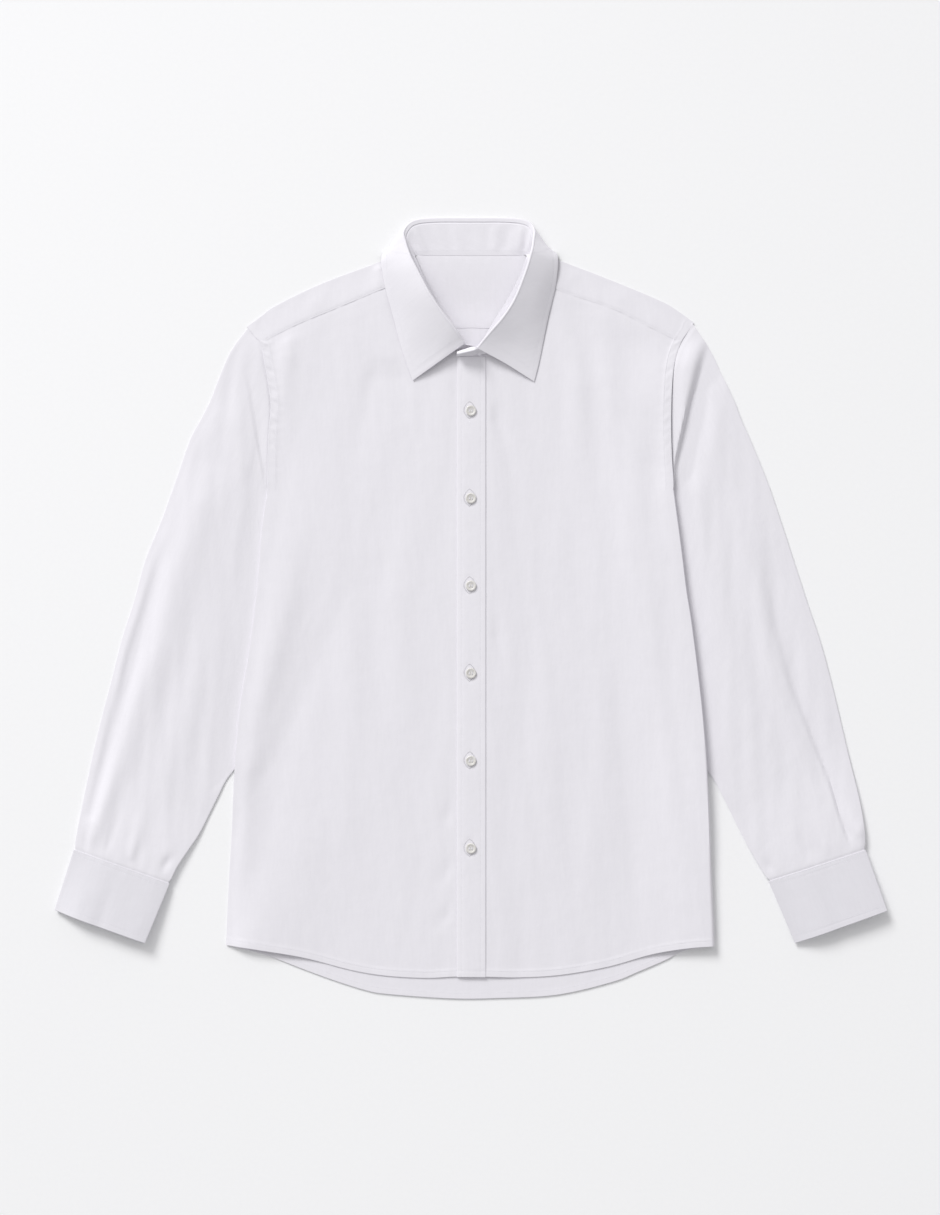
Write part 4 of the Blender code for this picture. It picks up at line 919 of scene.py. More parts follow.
def read_at(points, share):
    """A line's points read at shares of their count."""
    rows = np.linspace(0, 1, len(points))
    return np.stack([np.interp(share, rows, c) for c in points.T], -1)


def shoulder_line(side, share):
    """Shoulder from its tip to the neck: base points of the fold, and the way out."""
    line = line_of(SHOULDER[side])
    p = line.at(share)
    ahead, behind = line.at(np.clip(share + 0.02, 0, 1)), line.at(np.clip(share - 0.02, 0, 1))
    t = (ahead - behind) / np.linalg.norm(ahead - behind, axis=1)[:, None]
    way = np.stack([t[:, 1], -t[:, 0]], -1)
    return p - way * (FOLD_ROLL + OVERHANG), way


def yoke_over_back(shoulders):
    """The part across the shoulder blades: its grid, its flat place and its wall."""
    ends = {}
    for side in (-1, 1):
        tip = ARMHOLE[side]["y"][0]
        ends[side] = armhole(side, -SEAM, np.linspace(YOKE_TIP + SEAM, tip, 14))
        ends[side][-1] = shoulders[side][0][0]
    neck_x = np.linspace(-58.0, 58.0, 41)
    neck = np.stack([neck_x, 367.4 - 2.4 * ramp(53, 58, abs(neck_x))], -1)
    top = np.vstack([shoulders[-1][0] * [-1, 1], neck, shoulders[1][0][::-1]])
    wide = abs(ends[-1][0, 0]) + abs(ends[1][0, 0])
    bx = np.interp(np.arange(len(top)), [0, len(top) - 1], [-ends[-1][0, 0], ends[1][0, 0]])
    bx = 0.3 * bx + 0.7 * top[:, 0] * wide / (top[-1, 0] - top[0, 0])
    bx[0], bx[-1] = -ends[-1][0, 0], ends[1][0, 0]
    bottom = np.stack([bx, yoke_back_y(bx) + SEAM], -1)
    right_edge, left_edge = ends[-1] * [-1, 1], ends[1].copy()
    for e, col in ((right_edge, 0), (left_edge, -1)):
        e[0], e[-1] = bottom[col], top[col]
    u = (top[:, 0] - top[0, 0]) / (top[-1, 0] - top[0, 0])
    v = np.concatenate([np.array([0, 0.4, 0.9, 1.5, 2.2, 3.2, 4.5, 6, 8]) / 75,
                        np.linspace(10 / 75, 1, 14)])
    flat = coons(bottom, top, read_at(right_edge, v), read_at(left_edge, v), u, v)
    up = run(flat, 0)
    z = FLOOR_MID + neck_lift(flat[..., 0], flat[..., 1])
    z = z + 0.28 * ramp(30.0, 6.0, up)
    at_neck = ramp(363.0, 366.0, flat[..., 1]) * ramp(57, 50, abs(flat[..., 0]))
    z = z - 0.15 * at_neck
    return raised(flat, z), flat, WALL - 0.2 * ramp(3.0, 0.5, up) - 0.3 * at_neck


def yoke_over_front(side, base, way, share):
    """The pressed fold along a shoulder, and the part that comes down from it to the front."""
    low = FLOOR_MID + neck_lift(base[:, 0], base[:, 1])
    fold = np.array([raised(base + way * (FOLD_ROLL * math.cos(a) + OVERHANG * (1 + math.sin(a)) / 2),
                            low + FOLD_R + FOLD_R * math.sin(a))
                     for a in np.linspace(-math.pi / 2, math.pi / 2, 9)])
    over = base + way * OVERHANG
    seam = line_of(YOKE_FRONT[side]).at(share)
    neck_edge = line_of(YOKE_NECK[side]).at(1 - np.linspace(0, 1, 40))
    neck_edge[0], neck_edge[-1] = seam[-1], over[-1]
    arm_edge = armhole(side, -SEAM, np.linspace(275.0, ARMHOLE[side]["y"][0], 40))
    arm_edge[0], arm_edge[-1] = seam[0], over[0]
    v = np.concatenate([SEAM_ROWS, np.linspace(SEAM_ROWS[-1], 1, 16)[1:]])
    flat = coons(seam, over, read_at(arm_edge, v), read_at(neck_edge, v), share, v)
    d, x, y = run(flat, 0), side * flat[..., 0], flat[..., 1]
    away = run(flat, 0, back=True)
    free = ramp(0.0, 6.0, away)
    z = LIE + neck_lift(flat[..., 0], y) - (LIE - FLOOR_MID - 2 * FOLD_R) * ramp(30.0, 0.0, away)
    groove = 0.05 * np.exp(-((d - YOKE_STITCH) / 0.5) ** 2)
    z = z + free * (YOKE_RISE[side] * ramp(15.0, 2.0, d) - groove)
    from_arm = np.hypot(*(flat - armhole(side, 0.0, np.clip(y, YOKE_TIP, 292))).transpose(2, 0, 1))
    z = z + free * ramp(16, 12, from_arm) * seam_band(from_arm, BAND_WIDE, 0.22)
    z = z + free * (pucker(x, d, 11.0, 9.0, 0.10, 11) + waviness(x, y, 21 + side, 0.08))
    z = z + free * creases(x, y, YOKE_CREASES[side])
    front_part = raised(flat, z)
    front_part[-1] = fold[-1]
    fold, front_part = mirrored(side, [fold, front_part])
    wall = WALL - YOKE_THIN[side] * ramp(4.0, 0.0, d)
    return [(fold, fold[..., :2], np.full(fold.shape[:2], WALL)), (front_part, flat * [side, 1], wall)]


def yoke_patches():
    """Grids, flat places and walls of the yoke's five patches."""
    close = BAND_COLUMNS / 180
    share = np.concatenate([close, np.linspace(close[-1], 1, YOKE_COLUMNS - 12)[1:]])
    shoulders = {side: shoulder_line(side, share) for side in (-1, 1)}
    parts = [yoke_over_back(shoulders)]
    for side in (-1, 1):
        parts += yoke_over_front(side, *shoulders[side], share)
    return [list(column) for column in zip(*parts)]


patches, flats, walls = yoke_patches()
yoke = cloth("cloth_yoke", patches, walls, flats)
dress(yoke, "yoke", poplin)

# %% [markdown]
# ## Placket
#
# The buttonhole band: a strip folded double, 30 mm wide, stitched down its whole length near both
# edges. Its left edge catches the light, its right edge throws a thin dark line.

# %% Placket
HOLE_TALL, HOLE_WIDE = 17.8, 11.8      # a buttonhole, pulled open by its button


def hole_middle(k):
    """Middle of buttonhole k on the pattern."""
    return np.array([BUTTON_X - 1.5, BUTTON_TOP_Y - k * BUTTON_PITCH + 0.8])


PLACKET_TOP_Z = 4.62    # mid-surface of the thinner cloth
PLACKET_STITCH = 5.0    # its stitches run this far inside its edges
PLACKET_LONG = 644
close = np.array([0, 0.25, 0.6, 1.1, 1.8, 2.6, 3.6, 4.4, 5, 5.6, 6.4, 7.6])
px = np.concatenate([PLACKET[0] + close, np.linspace(-4.6, 6.4, 9), PLACKET[1] - close[::-1]])
hem_y = smooth_read(px, HEM_FRONT["x"], HEM_FRONT["y"]) - 0.3
share = np.concatenate([np.array([0, 0.4, 1, 2, 3.2, 4.4, 5.4, 6.2, 7.2, 8.6]) / PLACKET_LONG,
                        np.linspace(10.5 / PLACKET_LONG, 1, 270)])
flat = np.stack([np.broadcast_to(px, (len(share), len(px))),
                 hem_y + share[:, None] * (PLACKET_TOP - hem_y)], -1)
x, y = flat[..., 0], flat[..., 1]
from_left, from_right = x - PLACKET[0], PLACKET[1] - x
z = PLACKET_TOP_Z - 0.9 * np.clip((-2.0 - x) / 12.0, 0, 1) ** 2
for d, seed in ((from_left, 31), (from_right, 32)):
    off = d - PLACKET_STITCH
    z = z - 0.12 * np.exp(-(off / 0.6) ** 2) + pucker(y, off, 8.5, 3.0, 0.035, seed)
z = z + waviness(x, y, 33, 0.06, long=(50, 130), across=(40, 90))
for k in range(BUTTON_COUNT):
    by = BUTTON_TOP_Y - k * BUTTON_PITCH
    z = z - 0.18 * np.exp(-((x - BUTTON_X) / 7) ** 2 - ((y - by) / 12) ** 2)
    hx, hy = hole_middle(k)
    oval = np.hypot((x - hx) / (HOLE_WIDE / 2), (y - hy) / (HOLE_TALL / 2))
    z = z - 0.3 * np.exp(-((oval - 0.97) / 0.13) ** 2)
z = z - 0.15 * np.exp(-((run(flat, 0) - 6.0) / 0.7) ** 2)
wall = 0.9 - 0.25 * ramp(0.7, 0.0, np.minimum(from_left, from_right))
placket = cloth("cloth_placket", [raised(flat, z)], [wall])
dress(placket, "placket", poplin)

# %% [markdown]
# ## Sleeves
#
# A sleeve is one piece of cloth sewn into a tube and laid flat: an upper layer, two rolled edges
# and a lower layer on the floor. Rings run from the armhole to the cuff. The cap starts under the
# body's seam band, and the end is drawn up into the cuff with small pleats.

# %% Creases of the sleeves
SLEEVE_CREASES = {
    -1: [[(-236, 256, 10, 1.3, 0), (-229, 226, 11, 1.3, -0.45), (-222, 180, 10, 1.3, -0.5),
          (-215, 142, 7, 1.3, -0.4), (-212, 110, 5, 1.5, 0)],
         [(-240, 288, 7, 8, 0), (-247, 268, 7, 8, -1.3), (-252, 240, 7, 9, -1.1),
          (-256, 200, 8, 10, 0)],
         [(-236, 230, 6, 8, 0), (-242, 190, 7, 9, 0.7), (-240, 150, 8, 10, 0.5), (-244, 110, 8, 10, 0)],
         [(-272, 150, 22, 18, 0), (-280, 110, 22, 17, 1.2), (-306, 30, 24, 16, 1.7),
          (-322, -40, 22, 14, 1.6), (-346, -98, 18, 12, 1.1), (-362, -152, 14, 10, 1.1),
          (-380, -202, 10, 9, 1.2), (-396, -246, 8, 7, 0.8)],
         [(-316, 80, 9, 9, 0), (-334, 10, 9, 9, -0.9), (-348, -40, 9, 9, -1.1), (-364, -100, 8, 8, -1.0),
          (-380, -160, 7, 7, -0.9), (-394, -214, 6, 6, -0.5)],
         [(-322, 80, 6, 6, 0), (-345, 10, 6, 6, 0.7), (-362, -44, 6, 6, 0.7), (-380, -110, 5, 5, 0)],
         [(-250, 20, 20, 20, 0), (-285, -80, 20, 20, 0.6), (-325, -190, 16, 16, 0.4),
          (-345, -240, 12, 12, 0)],
         [(-225, 100, 8, 12, 0), (-236, 30, 10, 14, -0.6), (-250, -40, 10, 14, -0.4),
          (-268, -120, 10, 12, 0)],
         [(-352, -258, 4, 5, 0.7), (-348, -240, 5, 6, 0.5), (-340, -205, 6, 7, 0)],
         [(-378, -252, 3, 4, -0.5), (-372, -232, 4, 5, -0.3), (-362, -205, 5, 5, 0)]],
    1: [
        [(290, 90, 16, 14, 0), (303, 50, 16, 11, -0.5), (310, 29, 16, 9, -0.8),
         (321, -22, 15, 6, -1.0), (333, -73, 14, 4, -1.1), (352, -125, 12, 2.2, -1.1),
         (374, -181, 10, 1.5, -1.1), (387, -226, 8, 1.3, -1.0), (397, -252, 6, 1.3, -0.8)],
        [(278, 120, 14, 14, 0), (291, 70, 14, 12, 0.8), (299, 0, 14, 12, 1.0),
         (316, -70, 13, 11, 0.9), (336, -130, 12, 10, 0.8), (360, -195, 10, 8, 0.6),
         (378, -240, 8, 6, 0)],
        [(245, 90, 14, 14, 0), (262, 0, 16, 16, 0.5), (290, -110, 18, 18, 0.6),
         (325, -210, 14, 14, 0.3), (338, -250, 10, 10, 0)],
        [(404, -233, 5, 5, 0.8), (398, -222, 6, 6, 0.4), (388, -200, 7, 7, 0)],
        [(350, -262, 4, 4, -0.5), (345, -240, 5, 5, -0.3), (338, -215, 6, 6, 0)],
        [(372, -256, 4, 4, 0.6), (366, -236, 5, 5, 0.3), (358, -215, 6, 6, 0)],
        [(246, 262, 8, 8, 0), (252, 225, 9, 10, 0.4), (258, 180, 10, 12, 0.3), (262, 130, 12, 12, 0)]],
}


# %% One sleeve
CUFF_REST, CUFF_HIGH, CUFF_RISE = 0.6, 7.2, {-1: 6.4, 1: 5.2}
CUFF_LIFT = {-1: 0.6, 1: 3.8}      # how far the lower layer's free edge stands off the floor
CUFF_EDGE = 3.0        # mid-surface of the upper layer at the edge that the lamp strikes
CUFF_LONG, SLEEVE_LONG = 65.5, 560
TURN_SLACK, TURN_STEPS = 0.06, 7   # roll of a tube's side edge, a share of its half height
SLEEVE_DENTS = {        # near the cuff: share across, share along, width, depth
    -1: [(0.9, 0.955, 0.045, -1.6), (0.1, 0.972, 0.04, -1.1), (0.62, 0.96, 0.05, -0.5)],
    1: [(0.03, 0.968, 0.035, 1.3), (0.93, 0.96, 0.04, -0.8), (0.5, 0.965, 0.05, -0.5)],
}
# the cloth folded over beside the left armhole: its height at the seam, its rise, and the hollow
FLAP_SEAM, FLAP_HIGH, FLAP_DIP = 2.7, 2.4, 2.3
FLAP = table("y x", (120, 210.5), (135, 211.3), (154, 213.4), (183, 219.6), (216, 227.4),
             (252, 236.0), (275, 241.5), (292, 245.0))


def cuff_top(side, t):
    """Mid-surface of a cuff's upper layer along its seam with the sleeve."""
    lit = np.clip(t if side < 0 else 1 - t, 0, 1)
    return CUFF_EDGE + (CUFF_HIGH - CUFF_EDGE) * ramp(-0.12, 0.42, lit) * ramp(-0.3, 0.16, 1 - lit)


def ring_of(points, share, rest, high_z):
    """Closed ring: upper layer out to in, the inner turn, the lower layer, the outer turn."""
    line = Line(points, smooth=False)
    way_out = (points[0] - points[1]) / np.linalg.norm(points[0] - points[1])
    way_in = (points[-1] - points[-2]) / np.linalg.norm(points[-1] - points[-2])
    low_z = np.broadcast_to(rest, high_z.shape)
    tall = [(high_z[k] - low_z[k]) / 2 for k in (0, -1)]
    total, roll = line.s[-1], TURN_SLACK * (tall[0] + tall[1]) / 2
    share = roll / total + share * (1 - 2 * roll / total)
    tuck = [min(2.4 * r, 2.5) / total for r in tall]
    top = raised(line.at(share), high_z)
    low = raised(line.at(tuck[0] + share * (1 - tuck[0] - tuck[1])), low_z)
    angles = np.linspace(math.pi / 2, -math.pi / 2, TURN_STEPS + 2)[1:-1]
    turns = []
    for way, r, k in ((way_in, tall[1], -1), (way_out, tall[0], 0)):
        turns.append([[*(top[k, :2] + (low[k, :2] - top[k, :2]) * (1 - math.sin(a)) / 2
                         + way * roll * math.cos(a)), top[k, 2] - r + r * math.sin(a)]
                      for a in angles])
    return np.vstack([top, turns[0], low[::-1], turns[1][::-1], top[:1]])


def flat_ring(ring, down):
    """A ring's place on the flat cut piece, a distance down from its first seam."""
    around = np.concatenate([[0], np.cumsum(np.linalg.norm(np.diff(ring, axis=0), axis=1))])
    return np.stack([around, np.full(len(around), down)], -1)


def sleeve_z(side, out, y, t, v):
    """Mid-surface of a sleeve's upper layer; it lies flat where the body covers it."""
    free = np.maximum(ramp(5.0, 28.0, out - side_x(side, y)), ramp(118.0, 150.0, y))
    free = np.maximum(free, ramp(-170.0, -195.0, y))
    belly = np.sin(np.pi * np.clip(t, 0, 1)) ** 0.8
    calm = ramp(0.0, 0.08, t) * ramp(0.0, 0.08, 1 - t)
    z = 1.4 + free * (0.6 + 1.5 * belly * ramp(0.03, 0.2, v))
    x = side * out
    relief = free * calm * (creases(x, y, SLEEVE_CREASES[side]) + waviness(x, y, 40 + side, 0.2)
                            + crumple(x, y, 50 + side))
    if side < 0:
        z = z - 0.9 * free * ramp(0.06, 0.0, t)
    end = ramp(0.78, 0.985, v)
    z = z * (1 - end) + end * (cuff_top(side, t) + 0.1) + relief * ramp(0.997, 0.955, v)
    for at, along, wide, deep in SLEEVE_DENTS[side]:
        z = z + deep * np.exp(-((t - at) / wide) ** 2 - ((v - along) / 0.022) ** 2)
    z = z + 0.10 * ramp(0.94, 0.985, v) * belly * np.sin(46 * t + 1.3 * np.sin(9 * t))
    z = z - 0.4 * ramp(0.9955, 0.9995, v)      # where it dives into the cuff
    if side > 0:                               # cloth folded over beside the armhole
        ledge = np.interp(y, FLAP["y"], FLAP["x"])
        arm_x = armhole(side, 0.0, np.clip(y, ARM_LOW, 290.0))[..., 0]
        flap = FLAP_SEAM * ramp(-0.8, 0.5, out - arm_x) + FLAP_HIGH * ramp(0.0, 14.0, out - arm_x)
        soft = np.interp(y, [150.0, 190.0, 260.0], [1.3, 2.0, 6.5])
        flap = flap * ramp(1.0, -1.0, (x - ledge) / soft)
        past = x - ledge
        flap = flap - FLAP_DIP * ramp(-1.0, 6.0, past) * ramp(38.0, 12.0, past)
        z = z + flap * ramp(118, 150, y) * ramp(286, 250, y)
    return z - 0.45 * ramp(0.013, 0.005, v) * ramp(118, 150, y)


def sleeve(side, name):
    """A tube of rings from the armhole to the cuff."""
    ys = np.concatenate([np.linspace(ARMHOLE[side]["y"][0], ARM_LOW, 60), np.linspace(120, 57, 20)])
    under, beside = armhole(side, -UNDER + 0.4, ys), armhole(side, SEAM, ys)
    blend = ramp(116, 134, ys)[:, None]
    cap_line = Line(under * blend + beside * (1 - blend), smooth=False)
    across = np.linspace(0, 1, 81)
    cap = cap_line.at(across)
    bow = cap - (cap[0] + across[:, None] * (cap[-1] - cap[0]))
    outer, inner = line_of(SLEEVE_OUT[side]), line_of(SLEEVE_IN[side])
    near = [0.009, 0.012, 0.016, 0.021, 0.027] if side < 0 else np.linspace(0.0084, 0.0324, 18)
    vs = np.concatenate([[0, 0.003, 0.005, 0.007], near,
                         np.linspace(0.034, 0.90, 150), np.linspace(0.905, 0.99, 22),
                         [0.9945, 0.997, 0.9985, 1.0, 1.006]])
    share = np.concatenate([[0, 0.004, 0.01, 0.018], np.linspace(0.03, 0.84, 50),
                            np.linspace(0.85, 0.975, 26), [0.982, 0.99, 0.996, 1]])
    rings, flats = [], []
    for v in vs:
        keep = 1 - ramp(0.0, 0.36, v)
        past = max(v - 1.0, 0.0) * 500
        a = outer.at(min(v, 1)) + keep * (cap[0] - outer.at(0.0))
        b = inner.at(min(v, 1)) + keep * (cap[-1] - inner.at(0.0))
        down = np.array([0.30, -0.954]) * past
        pts = a + across[:, None] * (b - a) + bow * keep + down
        if v > 0.9:                            # drawn in a little, to fit inside the cuff
            pts = pts + (across[:, None] - 0.5) * (a - b) * 0.02 * ramp(0.985, 1.0, v)
        p = Line(pts, smooth=False).at(share)
        rest = 0.3 + 1.5 * ramp(0.97, 1.0, v)
        high = sleeve_z(side, p[:, 0], p[:, 1], share, v)
        ring = ring_of(pts, share, rest, np.maximum(high, rest + 0.6))
        rings.append(ring)
        flats.append(flat_ring(ring, v * SLEEVE_LONG))
    return cloth(name, mirrored(side, [np.array(rings)]), WALL, [np.array(flats)])


sleeve_right = sleeve(-1, "cloth_sleeve_right")
sleeve_left = sleeve(1, "cloth_sleeve_left")
dress(sleeve_right, "sleeve_right", poplin)
dress(sleeve_left, "sleeve_left", poplin)

# %% [markdown]
# ## Cuffs
#
# A cuff is cloth doubled over an interlining, so it is thicker and keeps its corners. Buttoned
# and laid flat it is a short tube, a little crushed across its middle.

# %% Cuffs
CUFF_STITCH = (1.6, 5.2, CUFF_LONG - 5.2)      # rows of stitches, down from the seam
CUFF_ROWS = np.concatenate([[0.3, 0.7, 1.1, 1.6, 2.1, 2.8, 3.7, 4.6, 5.2, 5.8, 6.8, 8.5],
                            np.linspace(11, 56, 19),
                            CUFF_LONG - np.array([7.6, 6.4, 5.8, 5.2, 4.6, 3.6, 2.4, 1.4, 0.7, 0.3, 0])])
CUFF_SHARE = np.concatenate([[0, 0.006, 0.014, 0.026], np.linspace(0.04, 0.96, 44),
                             [0.974, 0.986, 0.994, 1]])


def cuff(side, name):
    """A short tube of rings; its grid comes back too."""
    c = np.stack([CUFF[side]["out"], CUFF[side]["y"]], -1)
    rings, flats = [], []
    t = CUFF_SHARE
    for s in CUFF_ROWS:
        v = s / CUFF_LONG
        a, b = c[0] + v * (c[2] - c[0]), c[1] + v * (c[3] - c[1])
        pts = a + np.linspace(0, 1, 17)[:, None] * (b - a)
        swell = np.sin(np.pi * t) ** 0.7
        middle = 0.44 + 0.05 * v if side < 0 else 0.5 + 0.02 * v
        dent = np.exp(-((t - middle) / 0.07) ** 2)
        lit = t if side < 0 else 1 - t
        z = cuff_top(side, t) + CUFF_RISE[side] * v * ramp(-0.08, 0.26, lit) - 0.9 * dent * v
        z = z + 0.45 - (0.3 + 0.25 * ramp(0.0, 2.0, s))
        rest = CUFF_REST + CUFF_LIFT[side] * v ** 3
        z = z - 0.12 * swell * sum(np.exp(-((s - g) / 0.65) ** 2) for g in CUFF_STITCH)
        z = z + 0.10 * swell * np.sin(60 * t + 2 * np.sin(7 * t)) * math.exp(-((s - 3) / 6) ** 2)
        ring = ring_of(pts, t, rest, z)
        rings.append(ring)
        flats.append(flat_ring(ring, s))
    grids = mirrored(side, [np.array(rings)])
    wall = (0.6 + 0.5 * ramp(0.0, 2.0, CUFF_ROWS))[:, None] * np.ones(grids[0].shape[:2])
    return cloth(name, grids, [wall], [np.array(flats)]), grids[0]


cuff_right, cuff_right_grid = cuff(-1, "cloth_cuff_right")
cuff_left, cuff_left_grid = cuff(1, "cloth_cuff_left")
# the cuffs wear the darker white: painted shade
dress(cuff_right, "cuff_right", cuff_shade_poplin)
dress(cuff_left, "cuff_left", cuff_shade_poplin)

# %% [markdown]
# ## Collar
#
# The stand is a band round the neck, and the leaf turns down over it from a rolled edge. Both are
# stiffened. Stations run round the neck from point to point, and at each one a curve goes over
# the roll, down the belly of the leaf and out to its stitched edge.

# %% Collar leaf and stand
COLLAR = 1.2           # thickness of the stiffened leaf
LEAF_STITCH = 5.5      # its stitches run this far inside its edge
KNEE_OUT = 20.0        # how far the stand's curve reaches out under the fold
STAND_GAP = 0.75       # the stand's top lies this far under the lip of the leaf
STAND_END_WALL = 1.2


def collar_stations(steps):
    """Points of the foot, fold, belly and edge round the neck, right point to left point."""
    out = []
    for side in (-1, 1):
        c = COLLAR_ROWS[side]
        foot = np.stack([side * c["fx"], c["fy"], 0 * c["fx"]], -1)
        on_cloth = front_z(side, c["fx"], c["fy"]) + CLOTH / 2 + 0.9
        behind = ramp(363.8, 366.6, c["fy"])
        foot[:, 2] = on_cloth + (FLOOR_MID + NECK_LIFT + 0.1 - on_cloth) * behind
        if side > 0:
            foot[0, 2] = PLACKET_Z + 0.7 + 0.65
        fold = np.stack([side * c["tx"], c["ty"], c["tz"]], -1)
        belly = np.stack([side * c["bx"], c["by"], c["bz"]], -1)
        edge = np.stack([side * c["ex"], c["ey"], c["ez"]], -1)
        out.append([foot, fold, belly, edge])
    joined = [np.vstack([a, b[::-1][1:]]) for a, b in zip(*out)]
    return [spline(p, steps=steps) for p in joined]


def unit(v):
    """Vectors made one long."""
    return v / np.linalg.norm(v, axis=-1)[..., None]


def beside(v, along):
    """Direction of v square to a line."""
    return unit(v - np.sum(v * along, axis=-1)[..., None] * along)


STATION_STEPS = 9
foot, fold, belly, edge = collar_stations(STATION_STEPS)
along = unit(np.gradient(fold, axis=0))
middle = unit(beside(foot - fold, along) + beside(belly - fold, along))
across = np.cross(middle, along)
roll = (ROLL[1] + (ROLL[0] - ROLL[1]) * ramp(4.0, 14.0, fold[:, 2]))[:, None]


def turn(angle):
    """Point of the collar's turn: +90 on the stand's side, -90 on the leaf's side."""
    a = math.radians(angle)
    return fold + roll * ((1 - math.cos(a)) * middle + math.sin(a) * across)


# inner side: from the stand's foot it runs out under the fold, and only there it stands up
start = turn(90)
out_way = unit((belly - fold) * [1, 1, 0])
knee = fold + KNEE_OUT * out_way
knee[:, 2] = foot[:, 2] + 0.9
straight = 0.5 * (foot + start)
upright = ramp(7.0, 17.0, fold[:, 2])[:, None]
knee = straight + (knee - straight) * upright
near_foot = foot + (knee - foot) * (0.667 + 0.333 * upright)
near_top = start + (knee - start) * (0.667 + 0.333 * upright)
inner_share = np.linspace(0, 1, 33)[None, :, None]
inner = ((1 - inner_share) ** 3 * foot[:, None] + inner_share ** 3 * start[:, None]
         + 3 * inner_share * (1 - inner_share) ** 2 * near_foot[:, None]
         + 3 * inner_share ** 2 * (1 - inner_share) * near_top[:, None])


def inner_point(from_top):
    """Points of the inner side a distance below the turn."""
    left = run(inner, 1, back=True)
    return np.array([[np.interp(-from_top, -d, c) for c in p.T] for d, p in zip(left, inner)])


tail = np.array([fold, turn(-90), belly, edge])
TAIL_STEPS = 16
curve = np.array([spline(tail[:, i], steps=TAIL_STEPS) for i in range(tail.shape[1])])
lip = np.array([inner_point(d) for d in (TURN_DOWN, 2.9, 2.4, 1.6, 0.8)]).transpose(1, 0, 2)
leaf = np.concatenate([lip, np.array([turn(a) for a in range(90, -90, -15)]).transpose(1, 0, 2),
                       curve[:, TAIL_STEPS:]], axis=1)
leaf[..., 2] = np.maximum(leaf[..., 2], COLLAR / 2)
normal = unit(np.cross(np.gradient(leaf, axis=0), np.gradient(leaf, axis=1)))
normal *= np.sign(normal[len(leaf) // 4, 20, 2])
from_edge, from_end = run(leaf, 1, back=True), np.minimum(run(leaf, 0), run(leaf, 0, back=True))
low_relief = -0.22 * np.exp(-((np.minimum(from_edge, from_end) - LEAF_STITCH) / 0.7) ** 2)
low_relief += pucker(run(leaf, 0), from_edge - LEAF_STITCH, 9.0, 4.0, 0.05, 51)
leaf = leaf + (low_relief * ramp(-2, 12, leaf[..., 2]))[..., None] * normal
wall = 1.0 - 0.3 * ramp(1.0, 0.0, np.minimum(from_edge, from_end))
leaf_piece = cloth("cloth_collar_leaf", [leaf], [wall],
                   [np.stack([run(leaf, 0), run(leaf, 1)], -1)])
dress(leaf_piece, "collar_leaf", poplin)

# the stand takes the inner side's form, and its top tucks in under the lip of the leaf
rows = np.concatenate([[0, 0.3, 0.7, 1.2, 1.8, 2.6, 3.6], np.linspace(5, 37, 25)])
depth = run(inner, 1)[:, -1] - (TURN_DOWN - 1.2)
walked = run(inner, 1)
band = np.array([[np.interp(rows / rows[-1] * d, w, c) for c in p.T]
                 for d, w, p in zip(depth, walked, inner)]).transpose(0, 2, 1)
back_of = unit(np.cross(np.gradient(band, axis=0), np.gradient(band, axis=1)))
back_of *= -np.sign(back_of[len(band) // 2, len(rows) // 2, 2])
from_lip = run(band, 1, back=True)
band = band + STAND_GAP * ramp(4.2, 1.0, from_lip)[..., None] * back_of
# soft upright folds across the band behind the neck
tall = np.minimum(run(band, 1), from_lip)
around = run(band, 0)[:, len(rows) // 2][:, None]
folds = waviness(around + 0.2 * run(band, 1), 0 * tall, 61, 1.0, across=(9.0, 30.0))
folds = 0.55 * ramp(14, 6, fold[:, 2])[:, None] * ramp(1, 12, tall) * folds
band = band - folds[..., None] * back_of
ends = []
for side in (-1, 1):
    e = STAND_END[side]
    f = np.stack([side * e["fx"], e["fy"], e["fz"]], -1)
    t = np.stack([side * e["tx"], e["ty"], e["tz"]], -1)
    ends.append((f[::-1], t[::-1]) if side < 0 else (f, t))
right_feet, right_tops = [spline(np.vstack([e, s[:1]]), 8)[:-1]
                          for e, s in zip(ends[0], (band[:, 0], band[:, -1]))]
left_feet, left_tops = [spline(np.vstack([s[-1:], e]), 8)[1:]
                        for e, s in zip(ends[1], (band[:, 0], band[:, -1]))]
share = (rows / rows[-1])[None, :, None]


def end_band(feet, tops):
    """A lapped end: it bows back as it rises, so that its top leans forward over its foot."""
    band = feet[:, None] * (1 - share) + tops[:, None] * share
    bow = 0.42 * np.maximum(tops[:, 2] - 8.5, 0.0)[:, None]
    band[..., 1] += bow * np.sin(np.pi * share[..., 0] ** 1.2)
    return band


stand = np.concatenate([end_band(right_feet, right_tops), band, end_band(left_feet, left_tops)])
wall = 0.9 - 0.35 * ramp(4.0, 0.3, run(stand, 1)) - 0.4 * ramp(3.0, 1.5, run(stand, 1, back=True))
wall[-len(left_feet):] = STAND_END_WALL
stand_piece = cloth("cloth_collar_stand", [stand], [wall],
                    [np.stack([run(stand, 0), run(stand, 1)], -1)])
dress(stand_piece, "collar_stand", poplin)


# %% [markdown]
# ## Stitches
#
# A dress shirt is lockstitched with fine thread, about four stitches to the centimetre. A line is
# drawn on the pattern where the needle ran and dropped on to the cloth. Geometry Nodes cut it
# into steps and set one short, rounded length of thread on each, turned along the line and off
# the cloth. The thread shows as a row of grains in the groove that it pulls.

# %% Thread
def cotton_thread(name, shade=1.0):
    """Sewing thread: a twisted, slightly uneven white."""
    stops = [(at, (*[c * shade for c in tint], 1))
             for at, tint in ((0.3, (0.76, 0.75, 0.79)), (0.7, (0.86, 0.85, 0.885)))]
    return mottled(name, {"Scale": 2400.0, "Detail": 2.0}, stops,
                   {"Strength": 0.5, "Distance": 0.00006}, {"Roughness": 0.6, "Sheen Weight": 0.2})


thread = cotton_thread("cotton_thread")
# the buttonhole thread is darkened to 0.74: painted shade of the slit and of the gaps between its
# stitches
slit_shade_thread = cotton_thread("buttonhole_painted_shade_thread", shade=0.74)


